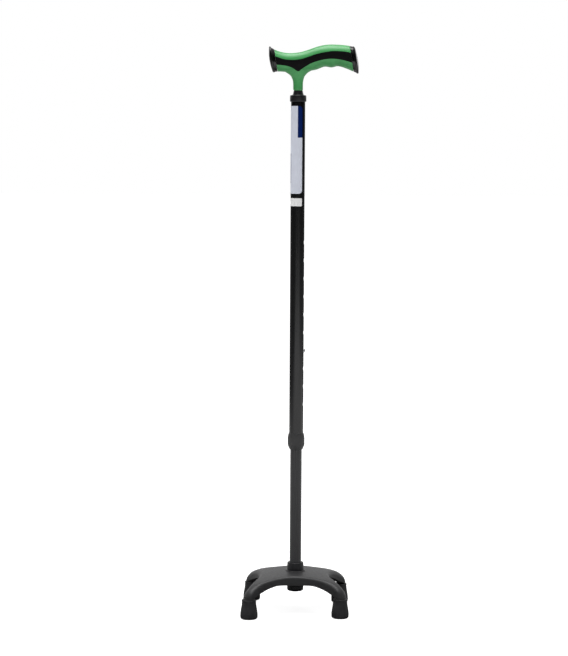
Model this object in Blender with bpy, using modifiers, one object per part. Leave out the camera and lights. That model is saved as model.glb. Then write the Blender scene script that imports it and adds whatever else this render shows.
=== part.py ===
"""Quad cane: moulded T-handle, two sliding tubes with a snap button and a lock nut,
and an arched moulded base on four rubber feet.

Units are metres, +Z is up, and the floor is z = 0. The long end of the handle points to +X.
Every piece is built round the shaft's own axis, and the whole cane is then moved so that the
origin lies at the bottom centre of its box.
"""

import math

import bmesh
import bpy
from mathutils import Matrix, Vector

MM = 0.001

# Clearances, the softening of small edges, and how far a cutter runs past what it cuts
GAP = 0.3 * MM
SLIDE_GAP = 0.3 * MM
SOFT_EDGE = 0.8 * MM
CUT_PAST = 9.0 * MM

# Tubes
UPPER_TUBE_D = 19.4 * MM
UPPER_TUBE_WALL = 1.2 * MM
LOWER_TUBE_D = 16.1 * MM
LOWER_TUBE_WALL = 1.2 * MM
UPPER_TUBE_TOP = 714.0 * MM
UPPER_TUBE_BOTTOM = 237.0 * MM
TUBE_ABOVE_BUTTON = 30.0 * MM
BUSH_FLANGE = 5.0 * MM
BUSH_SPIGOT = 9.0 * MM
BUSH_WALL = 2.0 * MM

# Adjusting holes and the snap button
HOLE_COUNT = 10
HOLE_PITCH = 25.0 * MM
HOLE_D = 6.6 * MM
BUTTON_HOLE_NUMBER = 7
BUTTON_Z = 364.3 * MM
BUTTON_D = 5.8 * MM
BUTTON_PROUD = 2.3 * MM
BUTTON_DOME = 2.6 * MM
BUTTON_DOME_STEPS = 3
BUTTON_HEAD_D = 8.4 * MM
BUTTON_HEAD_T = 1.0 * MM
SPRING_WIDTH = 7.0 * MM
SPRING_T = 0.6 * MM
SPRING_LENGTH = 46.0 * MM
SPRING_BEND_R = 2.6 * MM
SPRING_BEND_STEPS = 8
SPRING_PAST_BUTTON = 7.0 * MM
SPRING_BACK_BEND = 12.0 * MM

# Lock nut and split ring. The nut's two ends are drawn in: each row is the share of that
# end's height, the share of its inset, and whether the flutes still run there.
NUT_D = 23.4 * MM
NUT_HEIGHT = 22.4 * MM
NUT_BELOW_TUBE = 10.2 * MM
NUT_SHOULDER = 6.0 * MM
NUT_TAIL = 6.2 * MM
NUT_LIP = 2.4 * MM
NUT_CONE = 0.7 * MM
NUT_CONE_HEIGHT = 2.2 * MM
NUT_TAIL_INSET = 2.5 * MM
NUT_TAIL_SIDE = ((0.0, 1.0, False), (0.35, 0.6, False), (0.7, 0.24, False), (1.0, 0.0, True))
NUT_TOP_INSET = 1.35 * MM
NUT_TOP_SIDE = ((1.0, 0.0, True), (0.6, 0.3, True), (0.25, 0.65, False), (0.0, 1.0, False))
NUT_FLUTES = 8
NUT_POINTS_PER_FLUTE = 5
NUT_FLUTE_DEPTH = 0.55 * MM
NUT_FLUTE_ANGLE = math.radians(19)
RING_SLOT = 1.6 * MM

# Neck collar
COLLAR_D = 22.5 * MM
COLLAR_SKIRT = 6.8 * MM
COLLAR_CAP_T = 1.7 * MM
CONE_BASE_D = 15.2 * MM
CONE_TOP_D = 13.0 * MM
CONE_HEIGHT = 6.4 * MM
NECK_SEAT = 2.4 * MM

# Handle plug, stud and its nut
PLUG_HEIGHT = 40.0 * MM
STUD_D = 8.0 * MM
STUD_IN_HANDLE = 34.0 * MM
STUD_NUT_ACROSS = 12.6 * MM
STUD_NUT_HEIGHT = 6.5 * MM
STUD_TAIL = 2.5 * MM

# Handle: reach of each end from the shaft, and its outline in the side view.
# Each pair is (distance along the bar, height above the handle datum).
HANDLE_ABOVE_TUBE = 51.0 * MM
HANDLE_DATUM = UPPER_TUBE_TOP + HANDLE_ABOVE_TUBE
HANDLE_SHORT = 38.0 * MM
HANDLE_LONG = 80.0 * MM
END_LEAN = math.radians(8.5)
BAR_TOP = ((-45, 20.0), (-38, 16.2), (-28, 11.0), (-14, 8.3), (0, 9.2), (12, 12.4),
           (25, 17.0), (36, 19.6), (46, 20.5), (62, 19.6), (74, 17.6), (86, 14.0))
BAR_BOTTOM = ((-45, -18.5), (-34, -17.8), (-24, -17.3), (-12, -17.5), (2, -17.3), (16, -15.4),
              (27, -12.7), (37, -9.7), (45.5, -11.0), (54, -9.3), (65, -12.2), (77, -17.2),
              (86, -20.6))
BAR_HALF_WIDTH = ((-45, 13.6), (-30, 12.6), (-12, 12.2), (8, 13.2), (28, 14.6), (48, 15.2),
                  (66, 14.6), (86, 13.4))
BAR_STATIONS = 15
BAR_SIDES = 16
BAR_SQUARENESS = 2.35
# End caps: the rim's round has a middle ring at this share of its radius, and the domed face
# has rings at (share of the outline, share of the dome's height).
CAP_LENGTH = 7.0 * MM
CAP_RIM_T = 2.6 * MM
CAP_RIM_PROUD = 0.7 * MM
CAP_EDGE_R = 1.2 * MM
CAP_MID_ROUND = 0.3
CAP_DOME = 1.3 * MM
CAP_DOME_RINGS = ((0.5, 0.8), (0.2, 1.0))
SPIGOT_LENGTH = 6.0 * MM
SPIGOT_SCALE = 0.6

# Neck below the bar: (height above the handle datum, half width in x, half width in y)
NECK_SECTIONS = ((-42.2, 5.7, 5.7), (-41.4, 6.5, 6.5), (-33.0, 6.5, 6.5), (-28.5, 7.0, 6.8),
                 (-25.6, 7.8, 7.2), (-22.9, 9.1, 7.6), (-20.3, 11.6, 8.1), (-17.6, 15.2, 8.7),
                 (-15.4, 19.5, 9.2), (-13.0, 24.0, 9.6), (-9.0, 24.0, 8.6))
NECK_STEM_D = 11.4 * MM

# Inlay band let into the sides of the handle: (along the bar, height above datum)
BAND_UPPER = ((-50, 3.0), (-31, 2.6), (-19.6, -1.1), (-6.1, -2.9), (4.8, -0.9), (13.8, 2.8),
              (27.4, 7.4), (40.9, 9.9), (49.9, 10.6), (63.5, 9.6), (71, 8.0), (95, 1.0))
BAND_LOWER = ((-50, -6.5), (-28.6, -7.0), (-21, -7.4), (-13.3, -9.1), (-6.9, -12.4),
              (-0.2, -16.6), (4.8, -13.4), (9.3, -10.4), (18.3, -5.4), (27.4, -2.3),
              (36.4, -0.2), (48.1, 0.7), (59, -0.6), (68, -2.6), (75.2, -4.8), (95, -13.0))
BAND_DEPTH = 2.6 * MM
BAND_STEPS = 20
BAND_INNER_Y = 4.5 * MM
BAND_OUTER_Y = 24.0 * MM

# Base
FEET_SPAN_X = 125.2 * MM
FEET_SPAN_LEFT = 122.4 * MM
FEET_SPAN_RIGHT = 101.8 * MM
LEG_R = 8.2 * MM
LEG_ANGLE_LEFT = math.radians(58)
LEG_ANGLE_RIGHT = math.radians(52)
LEG_CURVE_START = 20.0 * MM
DECK_HEIGHT = 54.4 * MM
DECK_DEPTH = 88.0 * MM
DECK_LENGTH = 98.0 * MM
NOTCH_POWER = 1.85
DECK_T = 3.4 * MM
DECK_FALL = 8.0 * MM
DECK_FALL_POWER = 1.35
LEG_FALL = 4.0 * MM
LEG_FALL_POWER = 3
LEG_FALL_REACH = 30.0 * MM
DECK_CROWN = 0.2 * MM
DECK_EDGE_R = 3.8 * MM
LEG_EDGE_R = 7.0 * MM
LEG_EDGE_REACH = 26.0 * MM
SKIRT_T = 3.0 * MM
SKIRT_HEIGHT = 12.0 * MM
ARCH_POWER = 1.65
NOTCH_LIP = 5.4 * MM
NOTCH_DROP_POWER = 1.8
RIB_T = 2.4 * MM
RIB_HEIGHT = 8.5 * MM
BOSS_D = 22.6 * MM
BOSS_HEIGHT = 19.8 * MM
BOSS_FLOOR = 4.0 * MM
LEG_STEPS = 6
LEG_TIP_STEPS = 7
NOTCH_STEPS = 7

# Hub
HUB_TOP_D = 20.9 * MM
HUB_BASE_D = 22.9 * MM
HUB_HEIGHT = 12.9 * MM
HUB_SHOULDER = 3.2 * MM
HUB_STEP = 5.0 * MM
HUB_STEP_IN = 0.3 * MM
HUB_CHAMFER = 0.5 * MM
HUB_SEAT_D = 27.5 * MM
HUB_SEAT_HEIGHT = 0.4 * MM
TUBE_PLUG_HEIGHT = 30.0 * MM
BOLT_D = 6.0 * MM
BOLT_HEAD_ACROSS = 10.0 * MM
BOLT_HEAD_T = 4.0 * MM
BOLT_GRIP = 24.0 * MM
WASHER_D = 13.0 * MM
WASHER_T = 1.2 * MM
CAP_D = 22.7 * MM
CAP_WALL = 1.6 * MM
CAP_LOW = 26.8 * MM
CAP_FLOOR = 1.4 * MM
CAP_CORNER_HEIGHT = 3.2 * MM
CAP_CORNER_DEPTH = 4.4 * MM
CAP_CORNER_STEPS = 3

# Feet
FOOT_HEIGHT = 26.5 * MM
FOOT_BASE_D = 24.0 * MM
FOOT_TOP_D = 19.2 * MM
# Side of a foot: (height, how far it is drawn in from the widest place)
FOOT_SIDE = ((18.4, 1.9), (12.4, 1.0), (7.8, 0.2), (4.8, 0.0), (2.0, 0.6), (0.0, 2.6))
FOOT_SOLE = 6.0 * MM
FOOT_RIM_HEIGHT = 2.2 * MM
FOOT_RIM_PROUD = 0.3 * MM
FOOT_GROOVE_D = 15.0 * MM
FOOT_GROOVE_WIDTH = 3.0 * MM
FOOT_GROOVE_DEPTH = 1.1 * MM
STUB_D = 14.8 * MM
STUB_IN_LEG = 5.0 * MM
FOOT_WASHER_D = 14.0 * MM
FOOT_WASHER_T = 1.4 * MM

SEGMENTS = 24
HOLE_SEGMENTS = 14
FOOT_SEGMENTS = 16
WASHER_SEGMENTS = 20

# Grid that lets the base's flat plate bend
FLAT_PLATE_T = 30.0 * MM
SHARP_EDGE_R = 0.6 * MM
GRID_REACH = 75.0 * MM
TOP_GRID = 13.1 * MM
UNDERSIDE_GRID = 18.3 * MM
SHORTEST_EDGE = 0.3 * MM
WELD_REACH = 0.01 * MM


def srgb(red, green, blue):
    """A colour as seen, 0 to 255, as Blender's linear values."""
    values = []
    for value in (red, green, blue):
        part = value / 255
        values.append(part / 12.92 if part <= 0.04045 else ((part + 0.055) / 1.055) ** 2.4)
    return (*values, 1.0)


def material(name, colour, roughness, metallic=0.0):
    made = bpy.data.materials.new(name)
    made.use_nodes = True
    shader = made.node_tree.nodes["Principled BSDF"]
    shader.inputs["Base Color"].default_value = srgb(*colour)
    shader.inputs["Roughness"].default_value = roughness
    shader.inputs["Metallic"].default_value = metallic
    return made


def clear_scene():
    for old in list(bpy.data.objects):
        bpy.data.objects.remove(old, do_unlink=True)


def collection(name):
    made = bpy.data.collections.new(name)
    bpy.context.scene.collection.children.link(made)
    return made


clear_scene()
PIECES = collection("quad_cane")
CUTTERS = collection("quad_cane_cutters")

GREEN_PLASTIC = material("green_plastic", (95, 168, 102), 0.42)
BLACK_RUBBER = material("black_rubber", (14, 15, 14), 0.7)
BLACK_PLASTIC = material("black_plastic", (30, 30, 32), 0.45)
BLACK_PAINT = material("black_paint", (30, 31, 33), 0.35, 0.3)
GREY_ALUMINIUM = material("grey_aluminium", (70, 69, 72), 0.38, 0.8)
DARK_PLASTIC = material("dark_plastic", (60, 60, 62), 0.5)
BASE_PLASTIC = material("base_plastic", (72, 73, 76), 0.5)
FOOT_RUBBER = material("foot_rubber", (38, 38, 40), 0.75)
STEEL = material("steel", (168, 170, 172), 0.3, 1.0)
WHITE_NYLON = material("white_nylon", (215, 213, 205), 0.5)


def place(name, mesh, finish, location=(0.0, 0.0, 0.0), keep=PIECES):
    made = bpy.data.objects.new(name, mesh)
    made.location = location
    keep.objects.link(made)
    if finish is not None:
        mesh.materials.append(finish)
    if keep is CUTTERS:
        made.hide_render = True
        made.display_type = "WIRE"
    return made


def smooth(made, angle=math.radians(35)):
    made.data.shade_smooth()
    made.data.set_sharp_from_angle(angle=angle)
    return made


def cut(target, cutter, operation="DIFFERENCE"):
    modifier = target.modifiers.new(operation.lower(), "BOOLEAN")
    modifier.operation = operation
    modifier.solver = "EXACT"
    modifier.object = cutter


def turned(name, profile, finish, location=(0.0, 0.0, 0.0), segments=SEGMENTS, closed=False,
           keep=PIECES):
    """A turned piece. The profile's (radius, z) points run down its outer side."""
    mesh = bpy.data.meshes.new(name)
    count = len(profile)
    edges = [(k, k + 1) for k in range(count - 1)]
    if closed:
        edges.append((count - 1, 0))
    mesh.from_pydata([(radius, 0.0, z) for radius, z in profile], edges, [])
    made = place(name, mesh, finish, location, keep)
    screw = made.modifiers.new("turn", "SCREW")
    screw.angle = math.tau
    screw.steps = segments
    screw.render_steps = segments
    screw.use_merge_vertices = True
    screw.merge_threshold = 0.00001
    screw.use_smooth_shade = False
    return made


def tube(name, outer_r, inner_r, low, high, finish, segments=SEGMENTS, keep=PIECES):
    """A plain tube round the shaft, with its origin on the axis at its lower end."""
    height = high - low
    profile = ((outer_r, height), (outer_r, 0.0), (inner_r, 0.0), (inner_r, height))
    return turned(name, profile, finish, (0.0, 0.0, low), segments, True, keep)


def rod(name, radius, low, high, location=(0.0, 0.0), segments=SEGMENTS, keep=CUTTERS,
        finish=None):
    """An upright cylinder between two heights, its flats facing the turned pieces' corners."""
    mesh = bpy.data.meshes.new(name)
    shape = bmesh.new()
    bmesh.ops.create_cone(shape, cap_ends=True, segments=segments, radius1=radius,
                          radius2=radius, depth=high - low,
                          matrix=Matrix.Rotation(math.pi / segments, 4, "Z"))
    shape.to_mesh(mesh)
    shape.free()
    return place(name, mesh, finish, (*location, (low + high) / 2), keep)


def sideways_rod(name, radius, start_x, end_x, z, segments=HOLE_SEGMENTS):
    """A cylinder along x, used to drill through a tube's wall."""
    made = rod(name, radius, 0.0, end_x - start_x, segments=segments)
    made.rotation_euler = (0.0, math.pi / 2, 0.0)
    made.location = ((start_x + end_x) / 2, 0.0, z)
    return made


def block(name, size, location, turn=0.0):
    mesh = bpy.data.meshes.new(name)
    shape = bmesh.new()
    bmesh.ops.create_cube(shape, size=1.0)
    bmesh.ops.scale(shape, vec=Vector(size), verts=shape.verts)
    shape.to_mesh(mesh)
    shape.free()
    made = place(name, mesh, None, location, CUTTERS)
    made.rotation_euler = (0.0, 0.0, turn)
    return made


def hexagon(name, across, low, height, finish, hole_r=0.0):
    """A hexagon nut or bolt head standing on the shaft's axis."""
    mesh = bpy.data.meshes.new(name)
    shape = bmesh.new()
    bmesh.ops.create_cone(shape, cap_ends=True, segments=6, radius1=across / math.sqrt(3),
                          radius2=across / math.sqrt(3), depth=height)
    shape.to_mesh(mesh)
    shape.free()
    made = place(name, mesh, finish, (0.0, 0.0, low + height / 2))
    if hole_r:
        cut(made, rod(f"{name}_hole", hole_r, low - height, low + 2 * height))
    return made


def loft_mesh(name, rings, triangles=True):
    """A closed body through rings of equal point count, with a flat cap on each end."""
    mesh = bpy.data.meshes.new(name)
    shape = bmesh.new()
    rows = [[shape.verts.new(point) for point in ring] for ring in rings]
    count = len(rows[0])
    for lower, upper in zip(rows, rows[1:]):
        for k in range(count):
            after = (k + 1) % count
            shape.faces.new((lower[k], lower[after], upper[after], upper[k]))
    shape.faces.new(list(reversed(rows[0])))
    shape.faces.new(rows[-1])
    bmesh.ops.recalc_face_normals(shape, faces=shape.faces)
    if triangles:
        bmesh.ops.triangulate(shape, faces=shape.faces)
    shape.to_mesh(mesh)
    shape.free()
    return mesh


def curve_through(points):
    """A smooth function through (x, value) pairs in mm, giving metres (cubic Hermite)."""
    xs = [x * MM for x, _ in points]
    ys = [y * MM for _, y in points]
    slopes = []
    for k in range(len(xs)):
        before, after = max(k - 1, 0), min(k + 1, len(xs) - 1)
        slopes.append((ys[after] - ys[before]) / (xs[after] - xs[before]))

    def value(x):
        k = 0
        while k < len(xs) - 2 and x > xs[k + 1]:
            k += 1
        span = xs[k + 1] - xs[k]
        t = min(max((x - xs[k]) / span, 0.0), 1.0)
        start = (1 + 2 * t) * (1 - t) ** 2
        end = t * t * (3 - 2 * t)
        rise = t * (1 - t) ** 2 * span * slopes[k]
        fall = t * t * (t - 1) * span * slopes[k + 1]
        return start * ys[k] + end * ys[k + 1] + rise + fall

    return value


def smoothstep(t):
    t = min(max(t, 0.0), 1.0)
    return t * t * (3 - 2 * t)


bar_top = curve_through(BAR_TOP)
bar_bottom = curve_through(BAR_BOTTOM)
bar_half_width = curve_through(BAR_HALF_WIDTH)


def bar_ring(station, inset=0.0, scale=1.0, shift=0.0):
    """One leaning cross-section of the handle bar, as a ring of points."""
    lean = math.tan(END_LEAN)
    top_z = bar_top(station)
    low_z = bar_bottom(station)
    half = (top_z - low_z) / 2
    top_z = bar_top(station - lean * half)
    low_z = bar_bottom(station + lean * half)
    middle = (top_z + low_z) / 2
    half_z = ((top_z - low_z) / 2 - inset) * scale
    half_y = (bar_half_width(station) - inset) * scale
    ring = []
    for k in range(BAR_SIDES):
        angle = math.tau * (k + 0.5) / BAR_SIDES
        across = math.copysign(abs(math.cos(angle)) ** (2 / BAR_SQUARENESS), math.cos(angle))
        up = math.copysign(abs(math.sin(angle)) ** (2 / BAR_SQUARENESS), math.sin(angle))
        z = middle + half_z * up
        ring.append((station + shift - lean * half_z * up, half_y * across, HANDLE_DATUM + z))
    return ring


def bar_mesh(name, start, end, inset=0.0):
    rings = []
    for k in range(BAR_STATIONS + 1):
        station = start + (end - start) * k / BAR_STATIONS
        rings.append(bar_ring(station, inset))
    return loft_mesh(name, rings)


def neck_mesh(name, inset=0.0):
    """The neck, flaring upwards into the bar."""
    rings = []
    foot = NECK_STEM_D / 2 - inset
    low = neck_bottom() - HANDLE_DATUM
    sections = [(low, foot, foot)]
    for z, half_x, half_y in NECK_SECTIONS:
        widest = max(half_x * MM - inset, foot)
        deepest = max(half_y * MM - inset, foot)
        sections.append((z * MM + inset * 0.6, widest, deepest))
    for z, half_x, half_y in sections:
        ring = []
        for k in range(BAR_SIDES):
            angle = math.tau * k / BAR_SIDES
            ring.append((half_x * math.cos(angle), half_y * math.sin(angle), HANDLE_DATUM + z))
        rings.append(ring)
    return loft_mesh(name, rings)


def collar_top():
    return UPPER_TUBE_TOP + GAP + COLLAR_CAP_T + CONE_HEIGHT


def neck_bottom():
    return collar_top() - NECK_SEAT + GAP


def band_mesh(name, grow, side):
    """The inlay's outline in the side view, as a thick upright plate on one side."""
    upper = curve_through(BAND_UPPER)
    lower = curve_through(BAND_LOWER)
    start = -HANDLE_SHORT - CUT_PAST
    end = HANDLE_LONG + CUT_PAST
    outline = []
    for k in range(BAND_STEPS + 1):
        x = start + (end - start) * k / BAND_STEPS
        outline.append((x, HANDLE_DATUM + lower(x) - grow))
    for k in range(BAND_STEPS + 1):
        x = end + (start - end) * k / BAND_STEPS
        outline.append((x, HANDLE_DATUM + upper(x) + grow))
    rings = [[(x, side * y, z) for x, z in outline] for y in (BAND_INNER_Y, BAND_OUTER_Y)]
    return loft_mesh(name, rings)


def inner_form(name, start, end, inset):
    """Bar and neck drawn in all round, which set how deep the band goes."""
    form = place(f"bar_{name}", bar_mesh(f"bar_{name}", start, end, inset), None, keep=CUTTERS)
    neck = place(f"neck_{name}", neck_mesh(f"neck_{name}", inset), None, keep=CUTTERS)
    cut(form, neck, "UNION")
    return form


def cap_stations():
    """Where each end cap begins and ends along the bar."""
    short = (-HANDLE_SHORT + CAP_LENGTH, -HANDLE_SHORT)
    long = (HANDLE_LONG - CAP_LENGTH, HANDLE_LONG)
    return short, long


def make_handle():
    short, long = cap_stations()
    start, end = short[0] + GAP, long[0] - GAP
    body = place("handle_body", bar_mesh("handle_body", start, end), GREEN_PLASTIC)
    neck = place("neck_form", neck_mesh("neck_form"), None, keep=CUTTERS)
    cut(body, neck, "UNION")
    core = inner_form("core", start - CUT_PAST, end + CUT_PAST, BAND_DEPTH)
    deep = inner_form("deep", start - CUT_PAST, end + CUT_PAST, BAND_DEPTH + GAP)
    for label, side in (("front", -1), ("rear", 1)):
        inlay = place(f"grip_inlay_{label}", bar_mesh(f"grip_inlay_{label}", start, end),
                      BLACK_RUBBER)
        cut(inlay, neck, "UNION")
        band = place(f"band_{label}", band_mesh(f"band_{label}", 0.0, side), None, keep=CUTTERS)
        cut(inlay, band, "INTERSECT")
        cut(inlay, core)
        groove = place(f"groove_{label}", band_mesh(f"groove_{label}", GAP, side), None,
                       keep=CUTTERS)
        cut(groove, deep)
        cut(body, groove)
        smooth(inlay)
    for label, (inner, outer), way in (("short", short, -1), ("long", long, 1)):
        make_end_cap(label, inner, outer, way, body)
    cut(body, rod("stud_bore", STUD_D / 2 + GAP, neck_bottom() - CUT_PAST,
                  neck_bottom() + STUD_IN_HANDLE + GAP))
    smooth(body)


def make_end_cap(label, inner, outer, way, body):
    """An oval cap with a domed face and a spigot that seats in the bar's end."""
    rings = [
        bar_ring(inner - way * (SPIGOT_LENGTH - GAP), scale=SPIGOT_SCALE),
        bar_ring(inner, scale=SPIGOT_SCALE),
        bar_ring(inner),
        bar_ring(outer - way * (CAP_RIM_T + CAP_RIM_PROUD)),
        bar_ring(outer - way * CAP_RIM_T, inset=-CAP_RIM_PROUD),
        bar_ring(outer - way * CAP_EDGE_R, inset=-CAP_RIM_PROUD),
        bar_ring(outer - way * CAP_EDGE_R * CAP_MID_ROUND,
                 inset=CAP_EDGE_R * CAP_MID_ROUND - CAP_RIM_PROUD),
        bar_ring(outer, inset=CAP_EDGE_R - CAP_RIM_PROUD),
    ]
    for scale, rise in CAP_DOME_RINGS:
        rings.append(bar_ring(outer, scale=scale, shift=way * CAP_DOME * rise))
    name = f"end_cap_{label}"
    cap = place(name, loft_mesh(name, rings), BLACK_RUBBER)
    pocket_rings = [
        bar_ring(inner - way * (SPIGOT_LENGTH + GAP), inset=-GAP, scale=SPIGOT_SCALE),
        bar_ring(inner + way * CAP_LENGTH / 2, inset=-GAP, scale=SPIGOT_SCALE),
    ]
    pocket = place(f"pocket_{label}", loft_mesh(f"pocket_{label}", pocket_rings), None,
                   keep=CUTTERS)
    cut(body, pocket)
    smooth(cap)


def make_neck_parts():
    """Collar, plug, stud and nut, which carry the handle on the upper tube."""
    tube_r = UPPER_TUBE_D / 2
    skirt_low = UPPER_TUBE_TOP - COLLAR_SKIRT
    ledge = UPPER_TUBE_TOP + GAP
    cap_top = ledge + COLLAR_CAP_T
    top = collar_top()
    seat = top - NECK_SEAT
    outer = COLLAR_D / 2
    bore = tube_r + GAP
    stud_bore = STUD_D / 2 + GAP
    well = NECK_STEM_D / 2 + GAP
    profile = (
        (CONE_TOP_D / 2 - SOFT_EDGE / 2, top), (CONE_TOP_D / 2, top - SOFT_EDGE / 2),
        (CONE_BASE_D / 2, cap_top + SOFT_EDGE), (CONE_BASE_D / 2 + SOFT_EDGE, cap_top),
        (outer - SOFT_EDGE, cap_top), (outer, cap_top - SOFT_EDGE),
        (outer, skirt_low + SOFT_EDGE), (outer - SOFT_EDGE, skirt_low),
        (bore, skirt_low), (bore, ledge), (stud_bore, ledge), (stud_bore, seat),
        (well, seat), (well, top),
    )
    smooth(turned("neck_collar", profile, BLACK_PLASTIC, closed=True))

    plug_r = tube_r - UPPER_TUBE_WALL - GAP
    plug_low = UPPER_TUBE_TOP - PLUG_HEIGHT
    tube("handle_plug", plug_r, stud_bore, plug_low, UPPER_TUBE_TOP, BLACK_PLASTIC)

    nut_top = plug_low - GAP
    nut_low = nut_top - STUD_NUT_HEIGHT
    hexagon("stud_nut", STUD_NUT_ACROSS, nut_low, STUD_NUT_HEIGHT, STEEL, stud_bore)
    stud_top = neck_bottom() + STUD_IN_HANDLE
    stud = rod("handle_stud", STUD_D / 2, nut_low - STUD_TAIL, stud_top, keep=PIECES,
               finish=STEEL)
    smooth(stud)


def hole_heights():
    top = BUTTON_Z + (BUTTON_HOLE_NUMBER - 1) * HOLE_PITCH
    return [top - k * HOLE_PITCH for k in range(HOLE_COUNT)]


def make_tubes():
    upper_r = UPPER_TUBE_D / 2
    upper = tube("upper_tube", upper_r, upper_r - UPPER_TUBE_WALL, UPPER_TUBE_BOTTOM,
                 UPPER_TUBE_TOP, BLACK_PAINT)
    for number, z in enumerate(hole_heights(), 1):
        cut(upper, sideways_rod(f"adjusting_hole_{number}", HOLE_D / 2, upper_r / 2,
                                upper_r * 1.5, z))
    smooth(upper)

    lower_r = LOWER_TUBE_D / 2
    low = boss_bottom() + BOSS_FLOOR + GAP
    high = BUTTON_Z + TUBE_ABOVE_BUTTON
    lower = tube("lower_tube", lower_r, lower_r - LOWER_TUBE_WALL, low, high, GREY_ALUMINIUM)
    cut(lower, sideways_rod("button_hole", HOLE_D / 2, lower_r / 2, lower_r * 1.5, BUTTON_Z))
    smooth(lower)

    rim_r = upper_r - UPPER_TUBE_WALL - SLIDE_GAP
    plug_r = lower_r - LOWER_TUBE_WALL - GAP
    bore = plug_r - BUSH_WALL
    profile = (
        (bore, BUSH_FLANGE), (rim_r - SOFT_EDGE, BUSH_FLANGE), (rim_r, BUSH_FLANGE - SOFT_EDGE),
        (rim_r, GAP), (plug_r, GAP), (plug_r, -BUSH_SPIGOT), (bore, -BUSH_SPIGOT),
    )
    smooth(turned("guide_bush", profile, WHITE_NYLON, (0.0, 0.0, high), closed=True))


def make_snap_button():
    """Domed button with a head inside the tube, and the bent strip spring behind it."""
    tip = UPPER_TUBE_D / 2 + BUTTON_PROUD
    wall_in = LOWER_TUBE_D / 2 - LOWER_TUBE_WALL
    head_r = BUTTON_HEAD_D / 2
    head_front = math.sqrt(wall_in ** 2 - head_r ** 2) - GAP
    head_back = head_front - BUTTON_HEAD_T
    r = BUTTON_D / 2
    profile = []
    for k in range(BUTTON_DOME_STEPS + 1):
        angle = math.pi / 2 * k / BUTTON_DOME_STEPS
        profile.append((r * math.sin(angle), tip - BUTTON_DOME * (1 - math.cos(angle))))
    profile += [(r, head_front), (head_r, head_front), (head_r, head_back), (0.0, head_back)]
    button = turned("snap_button", profile, STEEL, (0.0, 0.0, BUTTON_Z))
    button.rotation_euler = (0.0, math.pi / 2, 0.0)
    smooth(button)

    front_x = head_back - GAP - SPRING_T / 2
    back_x = GAP + SPRING_T / 2 - math.sqrt(wall_in ** 2 - (SPRING_WIDTH / 2) ** 2)
    path = [(front_x, SPRING_PAST_BUTTON), (front_x, -SPRING_PAST_BUTTON)]
    for k in range(SPRING_BEND_STEPS + 1):
        angle = math.pi * k / SPRING_BEND_STEPS
        path.append((SPRING_BEND_R * math.cos(angle),
                     -SPRING_LENGTH - SPRING_BEND_R * math.sin(angle)))
    path += [(back_x, -SPRING_BACK_BEND), (back_x, SPRING_PAST_BUTTON)]
    mesh = bpy.data.meshes.new("snap_spring")
    shape = bmesh.new()
    rows = []
    for x, z in path:
        rows.append([shape.verts.new((x, y, z))
                     for y in (-SPRING_WIDTH / 2, SPRING_WIDTH / 2)])
    for first, second in zip(rows, rows[1:]):
        shape.faces.new((first[0], second[0], second[1], first[1]))
    shape.to_mesh(mesh)
    shape.free()
    spring = place("snap_spring", mesh, STEEL, (0.0, 0.0, BUTTON_Z))
    thick = spring.modifiers.new("thickness", "SOLIDIFY")
    thick.thickness = SPRING_T
    thick.offset = 0.0
    thick.use_even_offset = True


def nut_ring(radius, z, fluted):
    """One ring of the nut's outside, with shallow flutes where it is fluted."""
    ring = []
    count = NUT_FLUTES * NUT_POINTS_PER_FLUTE
    for k in range(count):
        angle = math.tau * k / count
        pitch = math.tau / NUT_FLUTES
        away = abs(angle % pitch - pitch / 2)
        depth = NUT_FLUTE_DEPTH if fluted and away < NUT_FLUTE_ANGLE / 2 else 0.0
        ring.append(((radius - depth) * math.cos(angle), (radius - depth) * math.sin(angle), z))
    return ring


def make_lock_parts():
    """Fluted lock nut on the upper tube's end, and the split ring inside it."""
    outer = NUT_D / 2
    low = UPPER_TUBE_BOTTOM - NUT_BELOW_TUBE
    tube_bore = UPPER_TUBE_D / 2 + GAP
    lower_bore = LOWER_TUBE_D / 2 + SLIDE_GAP
    rings = []
    for up, inset, fluted in NUT_TAIL_SIDE:
        rings.append(nut_ring(outer - NUT_TAIL_INSET * inset, NUT_TAIL * up, fluted))
    for down, inset, fluted in NUT_TOP_SIDE:
        rings.append(nut_ring(outer - NUT_TOP_INSET * inset, NUT_HEIGHT - NUT_SHOULDER * down,
                              fluted))
    nut = place("lock_nut", loft_mesh("lock_nut", rings), DARK_PLASTIC, (0.0, 0.0, low))
    seat_r = tube_bore - NUT_CONE
    hollow_profile = (
        (0.0, NUT_HEIGHT + CUT_PAST), (tube_bore, NUT_HEIGHT + CUT_PAST),
        (tube_bore, NUT_LIP + NUT_CONE_HEIGHT), (seat_r, NUT_LIP), (lower_bore, NUT_LIP),
        (lower_bore, -CUT_PAST), (0.0, -CUT_PAST),
    )
    cut(nut, turned("nut_hollow", hollow_profile, None, (0.0, 0.0, low), keep=CUTTERS))
    smooth(nut)

    height = UPPER_TUBE_BOTTOM - GAP - (low + NUT_LIP + GAP)
    profile = (
        (tube_bore - GAP, height), (tube_bore - GAP, NUT_CONE_HEIGHT), (seat_r - GAP, 0.0),
        (lower_bore, 0.0), (lower_bore, height),
    )
    ring = turned("lock_ring", profile, WHITE_NYLON, (0.0, 0.0, low + NUT_LIP + GAP),
                  closed=True)
    cut(ring, block("ring_slot", (UPPER_TUBE_D, RING_SLOT, height * 3),
                    (-UPPER_TUBE_D / 2, 0.0, low + NUT_LIP)))
    smooth(ring)


def foot_places():
    """The four feet as (name, x, y)."""
    x = FEET_SPAN_X / 2
    left, right = FEET_SPAN_LEFT / 2, FEET_SPAN_RIGHT / 2
    return (("front_left", -x, -left), ("front_right", x, -right),
            ("rear_left", -x, left), ("rear_right", x, right))


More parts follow.
